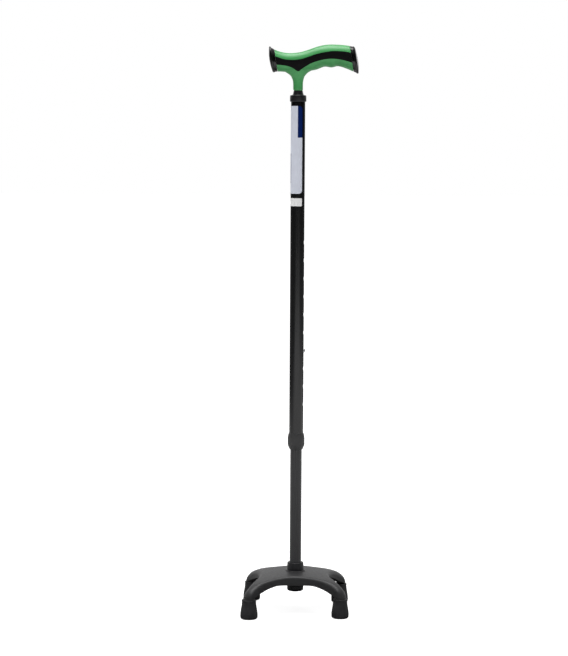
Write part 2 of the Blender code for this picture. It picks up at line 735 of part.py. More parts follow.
def quadrant(foot_y, leg_angle):
    """A quarter of the base's outline seen from above, from mid-front to mid-end, x and y up."""
    foot_x = FEET_SPAN_X / 2
    side = DECK_DEPTH / 2
    end = DECK_LENGTH / 2
    points = []
    start_x = foot_x - LEG_R * math.sin(leg_angle)
    start_y = foot_y + LEG_R * math.cos(leg_angle)
    slope = math.tan(leg_angle)
    power = slope * (start_x - LEG_CURVE_START) / (start_y - side)
    for k in range(2):
        points.append((LEG_CURVE_START * k / 2, side))
    for k in range(LEG_STEPS):
        t = k / LEG_STEPS
        x = LEG_CURVE_START + (start_x - LEG_CURVE_START) * t
        points.append((x, side + (start_y - side) * t ** power))
    last_angle = math.atan(NOTCH_POWER * (foot_x + LEG_R - end) / foot_y)
    turn = (math.pi / 2 + leg_angle) - (-last_angle)
    for k in range(LEG_TIP_STEPS + 1):
        angle = math.pi / 2 + leg_angle - turn * k / LEG_TIP_STEPS
        points.append((foot_x + LEG_R * math.cos(angle), foot_y + LEG_R * math.sin(angle)))
    join_x, join_y = points[-1]
    for k in range(1, NOTCH_STEPS):
        y = join_y * (1 - k / NOTCH_STEPS)
        points.append((end + (join_x - end) * (y / join_y) ** NOTCH_POWER, y))
    return points


def base_outline():
    """The whole outline, anticlockwise seen from above, from mid-rear."""
    left = quadrant(FEET_SPAN_LEFT / 2, LEG_ANGLE_LEFT)
    right = quadrant(FEET_SPAN_RIGHT / 2, LEG_ANGLE_RIGHT)
    end = DECK_LENGTH / 2
    outline = [(-x, y) for x, y in left] + [(-end, 0.0)]
    outline += [(-x, -y) for x, y in reversed(left)]
    outline += [(x, -y) for x, y in right[1:]] + [(end, 0.0)]
    outline += [(x, y) for x, y in reversed(right)][:-1]
    return outline


def shrink(outline, distances):
    """The outline moved inwards along its own normals, by each point's own distance."""
    count = len(outline)
    moved = []
    for k in range(count):
        before, after = outline[k - 1], outline[(k + 1) % count]
        along = Vector((after[0] - before[0], after[1] - before[1])).normalized()
        far = distances[k]
        moved.append((outline[k][0] - along.y * far, outline[k][1] + along.x * far))
    return moved


def foot_distance(x, y):
    """Distance in plan from a point to the axis of the nearest foot."""
    foot_x = FEET_SPAN_X / 2
    foot_y = (FEET_SPAN_LEFT if x < 0 else FEET_SPAN_RIGHT) / 2
    return math.hypot(abs(x) - foot_x, abs(y) - foot_y)


def edge_radius(x, y):
    """Radius of the base's upper edge: small along the deck, large round the legs."""
    share = smoothstep(1 - (foot_distance(x, y) - LEG_R) / LEG_EDGE_REACH)
    return DECK_EDGE_R + (LEG_EDGE_R - DECK_EDGE_R) * share


def deck_height(x, y):
    """Height of the deck's top surface: an arch that falls further along each leg."""
    foot_x = FEET_SPAN_X / 2
    share = min(max((foot_x - x) / FEET_SPAN_X, 0.0), 1.0)
    foot_y = (FEET_SPAN_RIGHT + (FEET_SPAN_LEFT - FEET_SPAN_RIGHT) * share) / 2
    arch = DECK_FALL * (abs(x) / foot_x) ** DECK_FALL_POWER
    crown = DECK_CROWN * (y / (DECK_DEPTH / 2)) ** 2
    start = math.hypot(foot_x, foot_y) - LEG_FALL_REACH
    leg = LEG_FALL * max((math.hypot(x, y) - start) / LEG_FALL_REACH, 0.0) ** LEG_FALL_POWER
    return DECK_HEIGHT - arch - crown - leg


def skirt_low(x, y):
    """Height of the skirt's lower edge: highest mid-side, down to the feet at the legs."""
    foot_x = FEET_SPAN_X / 2
    foot_y = (FEET_SPAN_LEFT if x < 0 else FEET_SPAN_RIGHT) / 2
    leg_low = FOOT_HEIGHT + GAP
    if abs(y) * foot_x > abs(x) * foot_y:
        top = DECK_HEIGHT - SKIRT_HEIGHT
        share = (abs(x) - LEG_CURVE_START) / (foot_x - LEG_CURVE_START - LEG_R / 2)
        power = ARCH_POWER
    else:
        top = deck_height(DECK_LENGTH / 2, 0.0) - NOTCH_LIP
        share = abs(y) / (foot_y - LEG_R / 2)
        power = NOTCH_DROP_POWER
    return top - (top - leg_low) * min(max(share, 0.0), 1.0) ** power


def base_form(name, inset, drop, grid_step, edge_steps, flat_low=None):
    """The base as a closed body with a soft upper edge, its top following the deck.

    A flat plate is lofted from the outline, split by a grid of planes so that it can bend,
    and then lifted on to the deck's and the skirt's heights.
    """
    outline = base_outline()
    wall = shrink(outline, [inset] * len(outline))
    radii = [max(edge_radius(x, y) - inset, SHARP_EDGE_R) for x, y in outline]
    lip = shrink(wall, radii)
    rings = [[(x, y, -FLAT_PLATE_T) for x, y in wall]]
    for k in range(edge_steps, -1, -1):
        angle = math.pi / 2 * k / edge_steps
        out = math.sin(angle)
        rings.append([(lip_x + (x - lip_x) * out, lip_y + (y - lip_y) * out,
                       -radius * (1 - math.cos(angle)))
                      for (x, y), (lip_x, lip_y), radius in zip(wall, lip, radii)])
    mesh = loft_mesh(name, rings, triangles=False)
    shape = bmesh.new()
    shape.from_mesh(mesh)
    for axis in (0, 1):
        normal = Vector((1.0, 0.0, 0.0)) if axis == 0 else Vector((0.0, 1.0, 0.0))
        half_count = math.ceil(GRID_REACH / grid_step)
        for k in range(-half_count, half_count):
            everything = shape.verts[:] + shape.edges[:] + shape.faces[:]
            bmesh.ops.bisect_plane(shape, geom=everything, dist=0.1 * MM,
                                   plane_co=normal * (k + 0.5) * grid_step, plane_no=normal)
    for point in shape.verts:
        x, y, z = point.co
        if z > -FLAT_PLATE_T / 2:
            point.co.z = deck_height(x, y) - drop + z
        elif flat_low is None:
            point.co.z = skirt_low(x, y)
        else:
            point.co.z = flat_low
    bmesh.ops.remove_doubles(shape, verts=shape.verts, dist=SHORTEST_EDGE)
    bmesh.ops.triangulate(shape, faces=shape.faces)
    bmesh.ops.dissolve_degenerate(shape, edges=shape.edges, dist=WELD_REACH)
    shape.to_mesh(mesh)
    shape.free()
    return mesh


def boss_bottom():
    return DECK_HEIGHT - BOSS_HEIGHT


def make_base():
    base = place("base_frame", base_form("base_frame", 0.0, 0.0, TOP_GRID, 2), BASE_PLASTIC)
    hollow_mesh = base_form("base_hollow", SKIRT_T, DECK_T, UNDERSIDE_GRID, 1, -CUT_PAST)
    hollow = place("base_hollow", hollow_mesh, None, keep=CUTTERS)
    rib_middle = DECK_HEIGHT - DECK_T - RIB_HEIGHT + FLAT_PLATE_T
    for name, x, y in foot_places():
        if "front" in name:
            reach = math.hypot(x, y) * 2
            rib = block(f"rib_{name}", (reach, RIB_T, 2 * FLAT_PLATE_T), (0.0, 0.0, rib_middle),
                        math.atan2(y, x))
            cut(hollow, rib)
    cut(hollow, block("rib_across", (FEET_SPAN_X, RIB_T, 2 * FLAT_PLATE_T),
                      (0.0, 0.0, rib_middle)))
    cut(base, hollow)
    weld = base.modifiers.new("weld", "WELD")
    weld.merge_threshold = WELD_REACH
    seat_profile = (
        (0.0, HUB_SEAT_HEIGHT), (HUB_BASE_D / 2, HUB_SEAT_HEIGHT), (HUB_SEAT_D / 2, 0.0),
        (HUB_SEAT_D / 2, -DECK_T / 2), (0.0, -DECK_T / 2),
    )
    cut(base, turned("hub_seat", seat_profile, None, (0.0, 0.0, DECK_HEIGHT), keep=CUTTERS),
        "UNION")
    below = boss_bottom()
    cut(base, rod("boss_form", BOSS_D / 2, below, DECK_HEIGHT - DECK_T / 2), "UNION")
    tube_bore = LOWER_TUBE_D / 2 + GAP
    cut(base, rod("tube_bore", tube_bore, below + BOSS_FLOOR, DECK_HEIGHT + CUT_PAST))
    cut(base, rod("bolt_bore", BOLT_D / 2 + GAP, below - CUT_PAST, below + BOSS_FLOOR + GAP))
    stub_low = FOOT_SOLE + GAP + FOOT_WASHER_T + GAP
    for name, x, y in foot_places():
        stub_high = FOOT_HEIGHT + STUB_IN_LEG
        cut(base, rod(f"leg_stub_{name}", STUB_D / 2, stub_low, stub_high, (x, y)), "UNION")
    smooth(base, math.radians(40))


def make_hub():
    """Collar, plug, bolt, washer and cap that hold the lower tube in the base."""
    tube_r = LOWER_TUBE_D / 2
    bore = tube_r + GAP
    low = DECK_HEIGHT + HUB_SEAT_HEIGHT + GAP
    base_r, top_r = HUB_BASE_D / 2, HUB_TOP_D / 2
    profile = (
        (top_r - HUB_CHAMFER, HUB_HEIGHT), (top_r, HUB_HEIGHT - HUB_CHAMFER),
        (base_r - 2 * HUB_STEP_IN, HUB_HEIGHT - HUB_SHOULDER),
        (base_r - HUB_STEP_IN, HUB_HEIGHT - HUB_STEP),
        (base_r, HUB_CHAMFER), (base_r - HUB_CHAMFER, 0.0), (bore, 0.0), (bore, HUB_HEIGHT),
    )
    smooth(turned("hub_collar", profile, BLACK_PLASTIC, (0.0, 0.0, low), closed=True))

    plug_low = boss_bottom() + BOSS_FLOOR + GAP
    tube("tube_plug", tube_r - LOWER_TUBE_WALL - GAP, BOLT_D / 2 + GAP, plug_low,
         plug_low + TUBE_PLUG_HEIGHT, STEEL)
    washer_top = boss_bottom() - GAP
    tube("hub_washer", WASHER_D / 2, BOLT_D / 2 + GAP, washer_top - WASHER_T, washer_top, STEEL)
    head_top = washer_top - WASHER_T - GAP
    bolt = hexagon("hub_bolt", BOLT_HEAD_ACROSS, head_top - BOLT_HEAD_T, BOLT_HEAD_T, STEEL)
    shank = rod("bolt_shank", BOLT_D / 2, head_top - BOLT_HEAD_T / 2, head_top + BOLT_GRIP)
    cut(bolt, shank, "UNION")

    cap_r = CAP_D / 2
    cap_high = boss_bottom() - GAP
    height = cap_high - CAP_LOW
    inner = cap_r - CAP_WALL
    profile = [(0.0, CAP_FLOOR), (inner, CAP_FLOOR), (inner, height), (cap_r, height)]
    for k in range(CAP_CORNER_STEPS + 1):
        angle = math.pi / 2 * k / CAP_CORNER_STEPS
        profile.append((cap_r - CAP_CORNER_DEPTH * (1 - math.cos(angle)),
                        CAP_CORNER_HEIGHT * (1 - math.sin(angle))))
    profile.append((0.0, 0.0))
    smooth(turned("hub_under_cap", profile, BLACK_PLASTIC, (0.0, 0.0, CAP_LOW)))


def make_feet():
    """Flared rubber feet with a rolled rim, a round lower edge and a ring groove in the sole."""
    base_r, top_r = FOOT_BASE_D / 2, FOOT_TOP_D / 2
    bore = STUB_D / 2 + GAP
    neck_r = top_r - FOOT_RIM_PROUD
    groove_out, groove_in = FOOT_GROOVE_D / 2, FOOT_GROOVE_D / 2 - FOOT_GROOVE_WIDTH
    groove = FOOT_GROOVE_DEPTH
    profile = (
        (0.0, FOOT_SOLE), (bore, FOOT_SOLE), (bore, FOOT_HEIGHT),
        (top_r - SOFT_EDGE / 2, FOOT_HEIGHT), (top_r, FOOT_HEIGHT - SOFT_EDGE / 2),
        (top_r, FOOT_HEIGHT - FOOT_RIM_HEIGHT + SOFT_EDGE / 2),
        (neck_r, FOOT_HEIGHT - FOOT_RIM_HEIGHT),
        *[(base_r - inset * MM, height * MM) for height, inset in FOOT_SIDE],
        (groove_out, 0.0), (groove_out, groove), (groove_in, groove), (groove_in, 0.0),
        (0.0, 0.0),
    )
    washer_low = FOOT_SOLE + GAP
    for name, x, y in foot_places():
        foot = turned(f"foot_{name}", profile, FOOT_RUBBER, (x, y, 0.0),
                      segments=FOOT_SEGMENTS)
        smooth(foot)
        washer = rod(f"foot_washer_{name}", FOOT_WASHER_D / 2, washer_low,
                     washer_low + FOOT_WASHER_T, (x, y), WASHER_SEGMENTS, PIECES, STEEL)
        smooth(washer)


def centre_on_base():
    """Move every piece so that the origin is the bottom centre of the whole cane's box."""
    bpy.context.view_layer.update()
    ready = bpy.context.evaluated_depsgraph_get()
    low, high = Vector((math.inf, math.inf)), Vector((-math.inf, -math.inf))
    for piece in PIECES.objects:
        for corner in piece.evaluated_get(ready).bound_box:
            point = piece.matrix_world @ Vector(corner)
            for axis in (0, 1):
                low[axis] = min(low[axis], point[axis])
                high[axis] = max(high[axis], point[axis])
    middle = (low + high) / 2
    origin = bpy.data.objects.new("cane_origin", None)
    PIECES.objects.link(origin)
    for piece in (*PIECES.objects, *CUTTERS.objects):
        if piece is not origin:
            piece.parent = origin
    origin.location = (-middle.x, -middle.y, 0.0)
    bpy.context.view_layer.update()
    return origin


make_handle()
make_neck_parts()
make_tubes()
make_snap_button()
make_lock_parts()
make_base()
make_hub()
make_feet()
ORIGIN = centre_on_base()
print(f"shaft axis at x = {ORIGIN.location.x:.6f} m")
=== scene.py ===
"""Quad cane: the finished surfaces, finishes, labels, floor, lights and camera round its frame.

Lengths are metres, +Z is up, and the long end of the handle points to +X. Outlines that are
written in millimetres are turned into metres where they are read.
"""

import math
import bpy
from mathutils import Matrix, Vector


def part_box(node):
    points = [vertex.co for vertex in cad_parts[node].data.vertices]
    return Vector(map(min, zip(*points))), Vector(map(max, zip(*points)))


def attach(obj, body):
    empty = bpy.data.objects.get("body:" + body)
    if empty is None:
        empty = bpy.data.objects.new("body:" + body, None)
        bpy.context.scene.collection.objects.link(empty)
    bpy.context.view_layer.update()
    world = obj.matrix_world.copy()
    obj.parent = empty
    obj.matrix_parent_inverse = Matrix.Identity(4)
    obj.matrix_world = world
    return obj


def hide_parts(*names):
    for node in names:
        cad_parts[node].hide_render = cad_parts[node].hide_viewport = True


bl_info = {
    "name": "Quad Cane",
    "version": (1, 0, 0),
    "blender": (4, 5, 0),
    "location": "View3D > Sidebar > Quad Cane",
    "description": "Builds a height-adjustable quad cane with a moulded T-handle",
    "category": "Add Mesh",
}

import bmesh
import bpy
from bpy.props import FloatProperty, FloatVectorProperty, IntProperty, PointerProperty
from mathutils import Matrix, Vector

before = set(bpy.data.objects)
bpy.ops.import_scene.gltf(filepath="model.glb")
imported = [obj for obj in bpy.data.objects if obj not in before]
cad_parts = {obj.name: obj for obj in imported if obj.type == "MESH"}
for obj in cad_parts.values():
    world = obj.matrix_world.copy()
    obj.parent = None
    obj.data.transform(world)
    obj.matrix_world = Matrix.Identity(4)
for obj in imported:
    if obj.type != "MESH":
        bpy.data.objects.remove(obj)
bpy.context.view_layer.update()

MM = 0.001
GAP = 0.3 * MM


def node_centre(node):
    low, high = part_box(node)
    return (low + high) / 2


def node_width(node):
    low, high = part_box(node)
    return high.x - low.x


SHAFT_X = node_centre("lower_tube").x
UPPER_TUBE_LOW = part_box("upper_tube")[0].z
UPPER_TUBE_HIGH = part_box("upper_tube")[1].z
LOWER_TUBE_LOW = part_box("lower_tube")[0].z
LOWER_TUBE_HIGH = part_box("lower_tube")[1].z
BUTTON_Z = node_centre("snap_button").z

# Tubes
UPPER_TUBE_D = 19.4 * MM
LOWER_TUBE_D = 16.1 * MM
TUBE_WALL = 1.2 * MM
HOLE_COUNT = 10
HOLE_PITCH = 25.0 * MM
HOLE_D = 6.6 * MM
BUTTON_HOLE_NUMBER = 7
BUTTON_D = 5.8 * MM
BUTTON_DOME = 2.6 * MM
BUTTON_HEAD_T = 1.0 * MM

# Handle: outline of the bar in the side view, as (distance along the bar, height) in mm
HANDLE_DATUM = 765.0 * MM
HANDLE_SHORT = 38.0 * MM
HANDLE_LONG = 80.0 * MM
END_LEAN = math.radians(8.5)
BAR_TOP = ((-45, 20.0), (-38, 16.2), (-28, 11.0), (-14, 8.3), (0, 9.2), (12, 12.4),
           (25, 17.0), (36, 19.5), (46, 20.2), (62, 19.4), (74, 17.6), (86, 14.0))
BAR_BOTTOM = ((-45, -18.5), (-34, -17.5), (-27, -16.9), (-12, -17.5), (2, -17.3), (16, -15.6),
              (21.5, -14.8), (27, -13.3), (32.5, -11.0), (37, -9.9), (45.5, -11.0), (54, -9.3),
              (65, -12.2), (77, -17.2), (86, -20.6))
BAR_HALF_WIDTH = ((-45, 13.6), (-30, 12.6), (-12, 12.2), (8, 13.2), (28, 14.6), (48, 15.2),
                  (66, 14.6), (86, 13.4))
BAR_SQUARENESS = 2.35
NECK_FOOT = ((-44.7, 5.7, 5.7), (-42.4, 5.7, 5.7), (-42.0, 6.2, 6.2))
NECK_SECTIONS = ((-41.6, 6.7, 6.5, -0.3), (-33.0, 6.75, 6.5, -0.3), (-28.9, 7.2, 6.8, -0.35),
                 (-26.2, 8.05, 7.1, -0.5), (-23.4, 9.2, 7.6, -0.7), (-20.7, 11.7, 8.1, -1.0),
                 (-18.0, 15.2, 8.6, -1.7), (-15.4, 19.7, 9.2, -1.9), (-13.0, 24.0, 9.6, -1.9),
                 (-9.0, 24.0, 8.6, -1.9))
STUD_BORE_R = 4.3 * MM
STUD_IN_HANDLE = 34.3 * MM
BLEND_MIDDLE = -13.0 * MM
BLEND_REACH_Z = 12.0 * MM
BLEND_REACH_X = 34.0 * MM
BLEND_PASSES = 30
END_BLEND_REACH = 5.0 * MM
END_BLEND_PASSES = 6
CAP_LENGTH = 7.0 * MM
CAP_RIM_T = 2.6 * MM
CAP_RIM_PROUD = 0.7 * MM
CAP_RIM_ROWS = ((0.0, 0.0), (0.25, 0.2), (0.5, 0.5), (0.75, 0.8), (1.0, 1.0))
CAP_EDGE_R = 2.4 * MM
CAP_DOME = 1.7 * MM

# Rubber band let into each side of the handle
BAND_UPPER = ((-50, 3.4), (-31, 3.0), (-19.6, -0.3), (-6.1, -1.4), (4.8, 0.2), (13.8, 3.1),
              (27.4, 7.4), (40.9, 10.1), (49.9, 10.9), (63.5, 10.1), (71, 8.6), (95, 1.6))
BAND_LOWER = ((-50, -7.0), (-28.6, -7.9), (-21, -8.5), (-13.3, -9.9), (-6.9, -12.6),
              (-0.2, -16.6), (4.8, -13.4), (9.3, -10.4), (18.3, -5.4), (27.4, -2.3),
              (36.4, -0.2), (48.1, 0.6), (59, -0.8), (68, -3.0), (75.2, -5.2), (95, -13.4))
BAND_DEPTH = 2.6 * MM
BAND_INNER_Y = 4.5 * MM
BAND_OUTER_Y = 24.0 * MM
BAND_SIDES = (("front", -1), ("rear", 1))

# Base
FEET_SPAN_X = 125.2 * MM
FOOT_X = FEET_SPAN_X / 2
FEET_SPAN_LEFT = 122.4 * MM
FEET_SPAN_RIGHT = 101.8 * MM
LEG_R = 8.2 * MM
LEG_ANGLE_LEFT = math.radians(49)
LEG_ANGLE_RIGHT = math.radians(42)
LEG_CURVE_START = 2.0 * MM
DECK_HEIGHT = 55.9 * MM
DECK_DEPTH = 82.0 * MM
DECK_END_LEFT = 50.3 * MM
DECK_END_RIGHT = 47.2 * MM
NOTCH_POWER = 1.85
DECK_T = 3.4 * MM
DECK_FALL_LEFT = 9.8 * MM
DECK_FALL_RIGHT = 8.8 * MM
DECK_FALL_POWER = 1.55
LEG_FALL = 4.6 * MM
LEG_FALL_REACH = 28.0 * MM
LEG_FALL_POWER = 3
DECK_CROWN = 1.1 * MM
DECK_EDGE_R = 4.4 * MM
LEAST_EDGE_R = 0.6 * MM
LEG_EDGE_R = 7.0 * MM
LEG_EDGE_REACH = 26.0 * MM
SKIRT_T = 3.0 * MM
SKIRT_HEIGHT = 13.7 * MM
ARCH_START = 20.0 * MM
ARCH_POWER = 1.65
NOTCH_LIP_LEFT = 7.2 * MM
NOTCH_LIP_RIGHT = 5.4 * MM
NOTCH_DROP_POWER = 1.8
RIB_T = 2.4 * MM
RIB_HEIGHT = 8.5 * MM
RIB_LENGTH = FEET_SPAN_X * 0.75
BOSS_D = 22.6 * MM
BOSS_HEIGHT = 21.1 * MM
BOSS_FLOOR = 4.0 * MM
HUB_SEAT_HEIGHT = 0.4 * MM
HUB_SEAT_D = 27.5 * MM
HUB_BASE_D = 22.9 * MM
FOOT_HEIGHT = 26.5 * MM
FOOT_BASE_D = 24.0 * MM
FOOT_SIDE = ((18.4, 1.8), (12.4, 0.7), (7.8, 0.1), (4.8, 0.0), (1.6, 0.2), (0.0, 1.8))
STUB_D = 14.8 * MM
STUB_LOW = 8.0 * MM
STUB_IN_LEG = 5.0 * MM
FOOT_PLACES = ("front_left", "front_right", "rear_left", "rear_right")
FLAT_PLATE_T = 30.0 * MM
GRID_REACH = 75.0 * MM

# The photograph's view: where the camera stands and how it is turned, in the frame's own axes
CAMERA_PLACE = (0.03132, -3.0358, 0.68788)
CAMERA_YAW = math.radians(1.0)
CAMERA_PITCH = math.radians(5.5)
CAMERA_ROLL = math.radians(0.32)
CAMERA_LENS = 120.96
CAMERA_SENSOR = 36.0

# How far a cutter reaches past the piece that it cuts, and what counts as on a turned axis
OVERCUT = 9.0 * MM
BORE_OVERRUN = 1.2
ON_AXIS = 1e-7

# How finely the handle, the base and the rounded profiles are drawn
BAR_SIDES = 72
BAR_STATIONS = 120
NECK_ROWS = 60
BAND_STEPS = 150
PROFILE_STEPS = 4
DOME_ROWS = 8
ROD_SIDES = 96
STUB_SIDES = 48
DRILL_SIDES = 40
FLUTE_SIDES = 32
BASE_EDGE_ROWS = 8
HOLLOW_EDGE_ROWS = 4
CAP_EDGE_ROWS = 6
CAP_DOME_ROWS = 9
SIDE_POINTS = 8
CURVE_POINTS = 26
FOOT_POINTS = 28
NOTCH_POINTS = 28
LABEL_ROWS = 60
LABEL_COLUMNS = 48
BASE_STEP = 2.5 * MM
HOLLOW_STEP = 5.0 * MM
GRID_SNAP = 0.02 * MM
SHARP_ANGLE = math.radians(32)
BASE_SHARP_ANGLE = math.radians(28)
FILM_SHARP_ANGLE = math.radians(50)

# Lock nut
NUT_D = 23.4 * MM
NUT_FLUTES = 8
NUT_FLUTE_R = 3.4 * MM
NUT_FLUTE_DEPTH = 0.55 * MM
NUT_FLUTE_ENDS = 15.0 * MM
NUT_FLUTE_MIDDLE = 0.52

# Label: its film, and its print as (left, right, low, high) in shares of its width and height
FILM_T = 0.12 * MM
FILM_GAP = 0.04 * MM
STICKER_CORNER = 1.2 * MM
PRINTED_PANEL = (0.74, 2.0, 0.64, 2.0)
PRINTED_RULE = (0.22, 0.30, 0.12, 0.46)

# Colours of the fittings, as linear red, green and blue
BUTTON_STEEL = (0.55, 0.56, 0.57)
PLATED_STEEL = (0.40, 0.41, 0.42)
NYLON_WHITE = (0.68, 0.66, 0.60)
PLUG_BLACK = (0.012, 0.012, 0.013)

# Stage: the floor as the camera sees it, and the fade of what gloss sees of it, as rows of
# (axis, strength before, strength after, start, end)
FLOOR_REACH = 16.0
FLOOR_GREY = 0.52
FLOOR_WHITE = 0.87
WHITE_FADE = (0.3, 1.6)
FLOOR_GLOSS = 2.3
# Painted shadow in the floor's glow as gloss sees it: the glow is dimmed close to the object
PAINTED_SHADOW_POWER = 0.35
PAINTED_SHADOW_FADE = (0.15, 2.3)
SWEEP_EDGES = (("X", 0.0, 1.0, -2.3, -1.5), ("X", 1.0, 0.0, 2.6, 3.6),
               ("Y", 0.0, 1.0, -7.8, -3.9), ("Y", 1.0, 0.0, 0.5, 1.8))
SIDE_GLOSS = 0.16
SIDE_FADE = (1.5, 3.0)

# The room: its even light, and what gloss sees behind and above the object
ROOM_LIGHT = 0.30
BACKDROP_LIGHT = 1.75
HIGH_SHARE = 0.2
CEILING_LIGHT = 0.55
BEHIND_FADE = (0.1, 0.6)
HORIZON_FADE = (0.0, 0.08)
HIGH_FADE = (0.16, 0.5)
CEILING_FADE = (0.5, 0.8)

# Lamps, as (name, watts, width, place, seen in gloss)
LAMP_AIM = (0.0, 0.0, 0.4)
LAMPS = (("overhead_softbox", 106.0, 2.6, (-0.2, 0.1, 3.7), True),
         ("left_fill", 38.0, 1.8, (-3.0, -1.9, 2.1), False),
         ("right_fill", 34.0, 1.8, (2.9, -2.0, 2.1), False))


# Sizes and colours that the panel shows

def length_prop(name, description, default, precision=4, **limits):
    return FloatProperty(name=name, description=description, default=default,
                         precision=precision, unit="LENGTH", **limits)


def angle_prop(name, description, default):
    return FloatProperty(name=name, description=description, default=default, subtype="ANGLE")


def colour_prop(name, description, default):
    return FloatVectorProperty(name=name, description=description, default=default,
                               subtype="COLOR", size=3, min=0, max=1)


class QuadCaneSizes(bpy.types.PropertyGroup):
    """How finely the pieces are made, and the sizes of the printed labels."""

    turn_segments: IntProperty(
        name="Turned segments", description="Sides of every turned piece", default=96, min=24)
    form_step: length_prop("Handle step", "Distance between the points of the handle's surface",
                           0.6 * MM, precision=5, min=0.3 * MM)
    label_low: length_prop("Label bottom", "Height of the label's lower edge", 581.4 * MM)
    label_high: length_prop("Label top", "Height of the label's upper edge", 701.3 * MM)
    label_left: angle_prop("Label left", "Where the label starts, turned from the front",
                           math.radians(-112))
    label_right: angle_prop("Label right", "Where the label ends, turned from the front",
                            math.radians(38))
    label_corner: length_prop("Label corner", "Radius of the label's corners", 5.0 * MM)
    sticker_low: length_prop("Sticker bottom", "Height of the small sticker's lower edge", 564.3 * MM)
    sticker_high: length_prop("Sticker top", "Height of the small sticker's upper edge", 575.3 * MM)


class QuadCaneColours(bpy.types.PropertyGroup):
    """Colours of the finishes, as linear red, green and blue."""

    handle_green: colour_prop("Handle", "Moulded handle", (0.058, 0.345, 0.095))
    band_black: colour_prop("Band", "Rubber band and end caps", (0.0035, 0.0035, 0.0035))
    upper_tube_black: colour_prop("Upper tube", "Coated upper tube", (0.0035, 0.0035, 0.004))
    lower_tube_grey: colour_prop("Lower tube", "Coated lower tube", (0.026, 0.026, 0.028))
    moulding_grey: colour_prop("Base", "Moulded base", (0.022, 0.022, 0.023))
    collar_black: colour_prop("Collars", "Neck and hub collars", (0.011, 0.011, 0.013))
    nut_grey: colour_prop("Lock nut", "Lock nut", (0.042, 0.042, 0.043))
    foot_black: colour_prop("Feet", "Rubber feet", (0.024, 0.024, 0.026))
    label_white: colour_prop("Label", "Printed film", (0.76, 0.79, 0.89))
    label_blue: colour_prop("Label panel", "Colour panel of the label", (0.0015, 0.014, 0.11))
    sticker_white: colour_prop("Sticker", "Small sticker below the label", (0.97, 0.97, 0.97))


def sizes():
    return bpy.context.scene.quad_cane_sizes


def colours():
    return bpy.context.scene.quad_cane_colours


# Nodes, for finishes, the stage and geometry

def add(tree, kind, links=(), **values):
    """A node of that kind. Each link is an input and what goes in: a socket or a plain value."""
    node = tree.nodes.new(kind)
    for label, value in values.items():
        setattr(node, label, value)
    for label, source in links:
        if isinstance(source, bpy.types.NodeSocket):
            tree.links.new(source, node.inputs[label])
        else:
            node.inputs[label].default_value = source
    return node


def result(tree, kind, links=(), pick=0, **values):
    """The output, by place or by name, of a new node of that kind."""
    return add(tree, kind, links, **values).outputs[pick]


def maths(tree, operation, first, second=0.0):
    return result(tree, "ShaderNodeMath", ((0, first), (1, second)), operation=operation)


def ranged(tree, value, low, high, start=0.3, end=0.7):
    """The value moved from start-end to low-high."""
    return result(tree, "ShaderNodeMapRange", (
        ("Value", value), ("From Min", start), ("From Max", end), ("To Min", low),
        ("To Max", high)))


def between(tree, value, low, high):
    """1 where the value lies between low and high, else 0."""
    return maths(tree, "MULTIPLY", maths(tree, "GREATER_THAN", value, low),
                 maths(tree, "LESS_THAN", value, high))


def noise(tree, place, size, detail=2.0, stretch=None):
    """A noise whose grains are about `size` metres across."""
    if stretch:
        place = result(tree, "ShaderNodeMapping", (("Vector", place), ("Scale", stretch)))
    return result(tree, "ShaderNodeTexNoise", (
        ("Vector", place), ("Scale", 1.0 / size), ("Detail", detail)), "Fac")


def mixed(tree, factor, first, second):
    """A colour between two others, each a socket or four plain values."""
    return result(tree, "ShaderNodeMix", (("Factor", factor), ("A", first), ("B", second)),
               "Result", data_type="RGBA")


# Finishes

def shade(colour, amount):
    """The colour made lighter or darker, with its alpha."""
    return (*(min(part * amount, 1.0) for part in colour), 1.0)


def new_finish(name, colour, roughness, metallic=0.0, specular=0.5):
    """A material with its shader and the object's own coordinates ready to link."""
    made = bpy.data.materials.new(name)
    made.use_nodes = True
    tree = made.node_tree
    shader = tree.nodes["Principled BSDF"].inputs
    for label, value in (("Base Color", shade(colour, 1.0)), ("Roughness", roughness),
                         ("Metallic", metallic), ("Specular IOR Level", specular)):
        shader[label].default_value = value
    return made, tree, shader, result(tree, "ShaderNodeTexCoord", pick="Object")


def mottled(tree, shader, grains, dark, light):
    """Base colour that drifts between two near colours with the noise."""
    drift = mixed(tree, ranged(tree, grains, 0.0, 1.0), dark, light)
    tree.links.new(drift, shader["Base Color"])
    return drift


def dulled(tree, shader, grains, low, high):
    """Roughness that drifts between two values with the noise."""
    tree.links.new(ranged(tree, grains, low, high), shader["Roughness"])


def bumped(tree, shader, height, depth, strength, under=None):
    """Relief of `depth` metres on the surface, over an earlier relief if there is one."""
    links = [("Strength", strength), ("Distance", depth), ("Height", height)]
    if under is not None:
        links.append(("Normal", under))
    normal = result(tree, "ShaderNodeBump", links)
    tree.links.new(normal, shader["Normal"])
    return normal


def moulded_plastic(name, colour, roughness, specular=0.5):
    """Injection moulding: a fine spark-eroded grain, a faint flow mottle and uneven gloss."""
    made, tree, shader, place = new_finish(name, colour, roughness, specular=specular)
    flow = noise(tree, place, 14 * MM, 3.0)
    mottled(tree, shader, flow, shade(colour, 0.92), shade(colour, 1.08))
    dulled(tree, shader, noise(tree, place, 3 * MM, 4.0), roughness - 0.05, roughness + 0.05)
    sink = bumped(tree, shader, noise(tree, place, 9 * MM, 1.0), 0.05 * MM, 0.6)
    bumped(tree, shader, noise(tree, place, 0.35 * MM), 0.012 * MM, 0.7, sink)
    return made


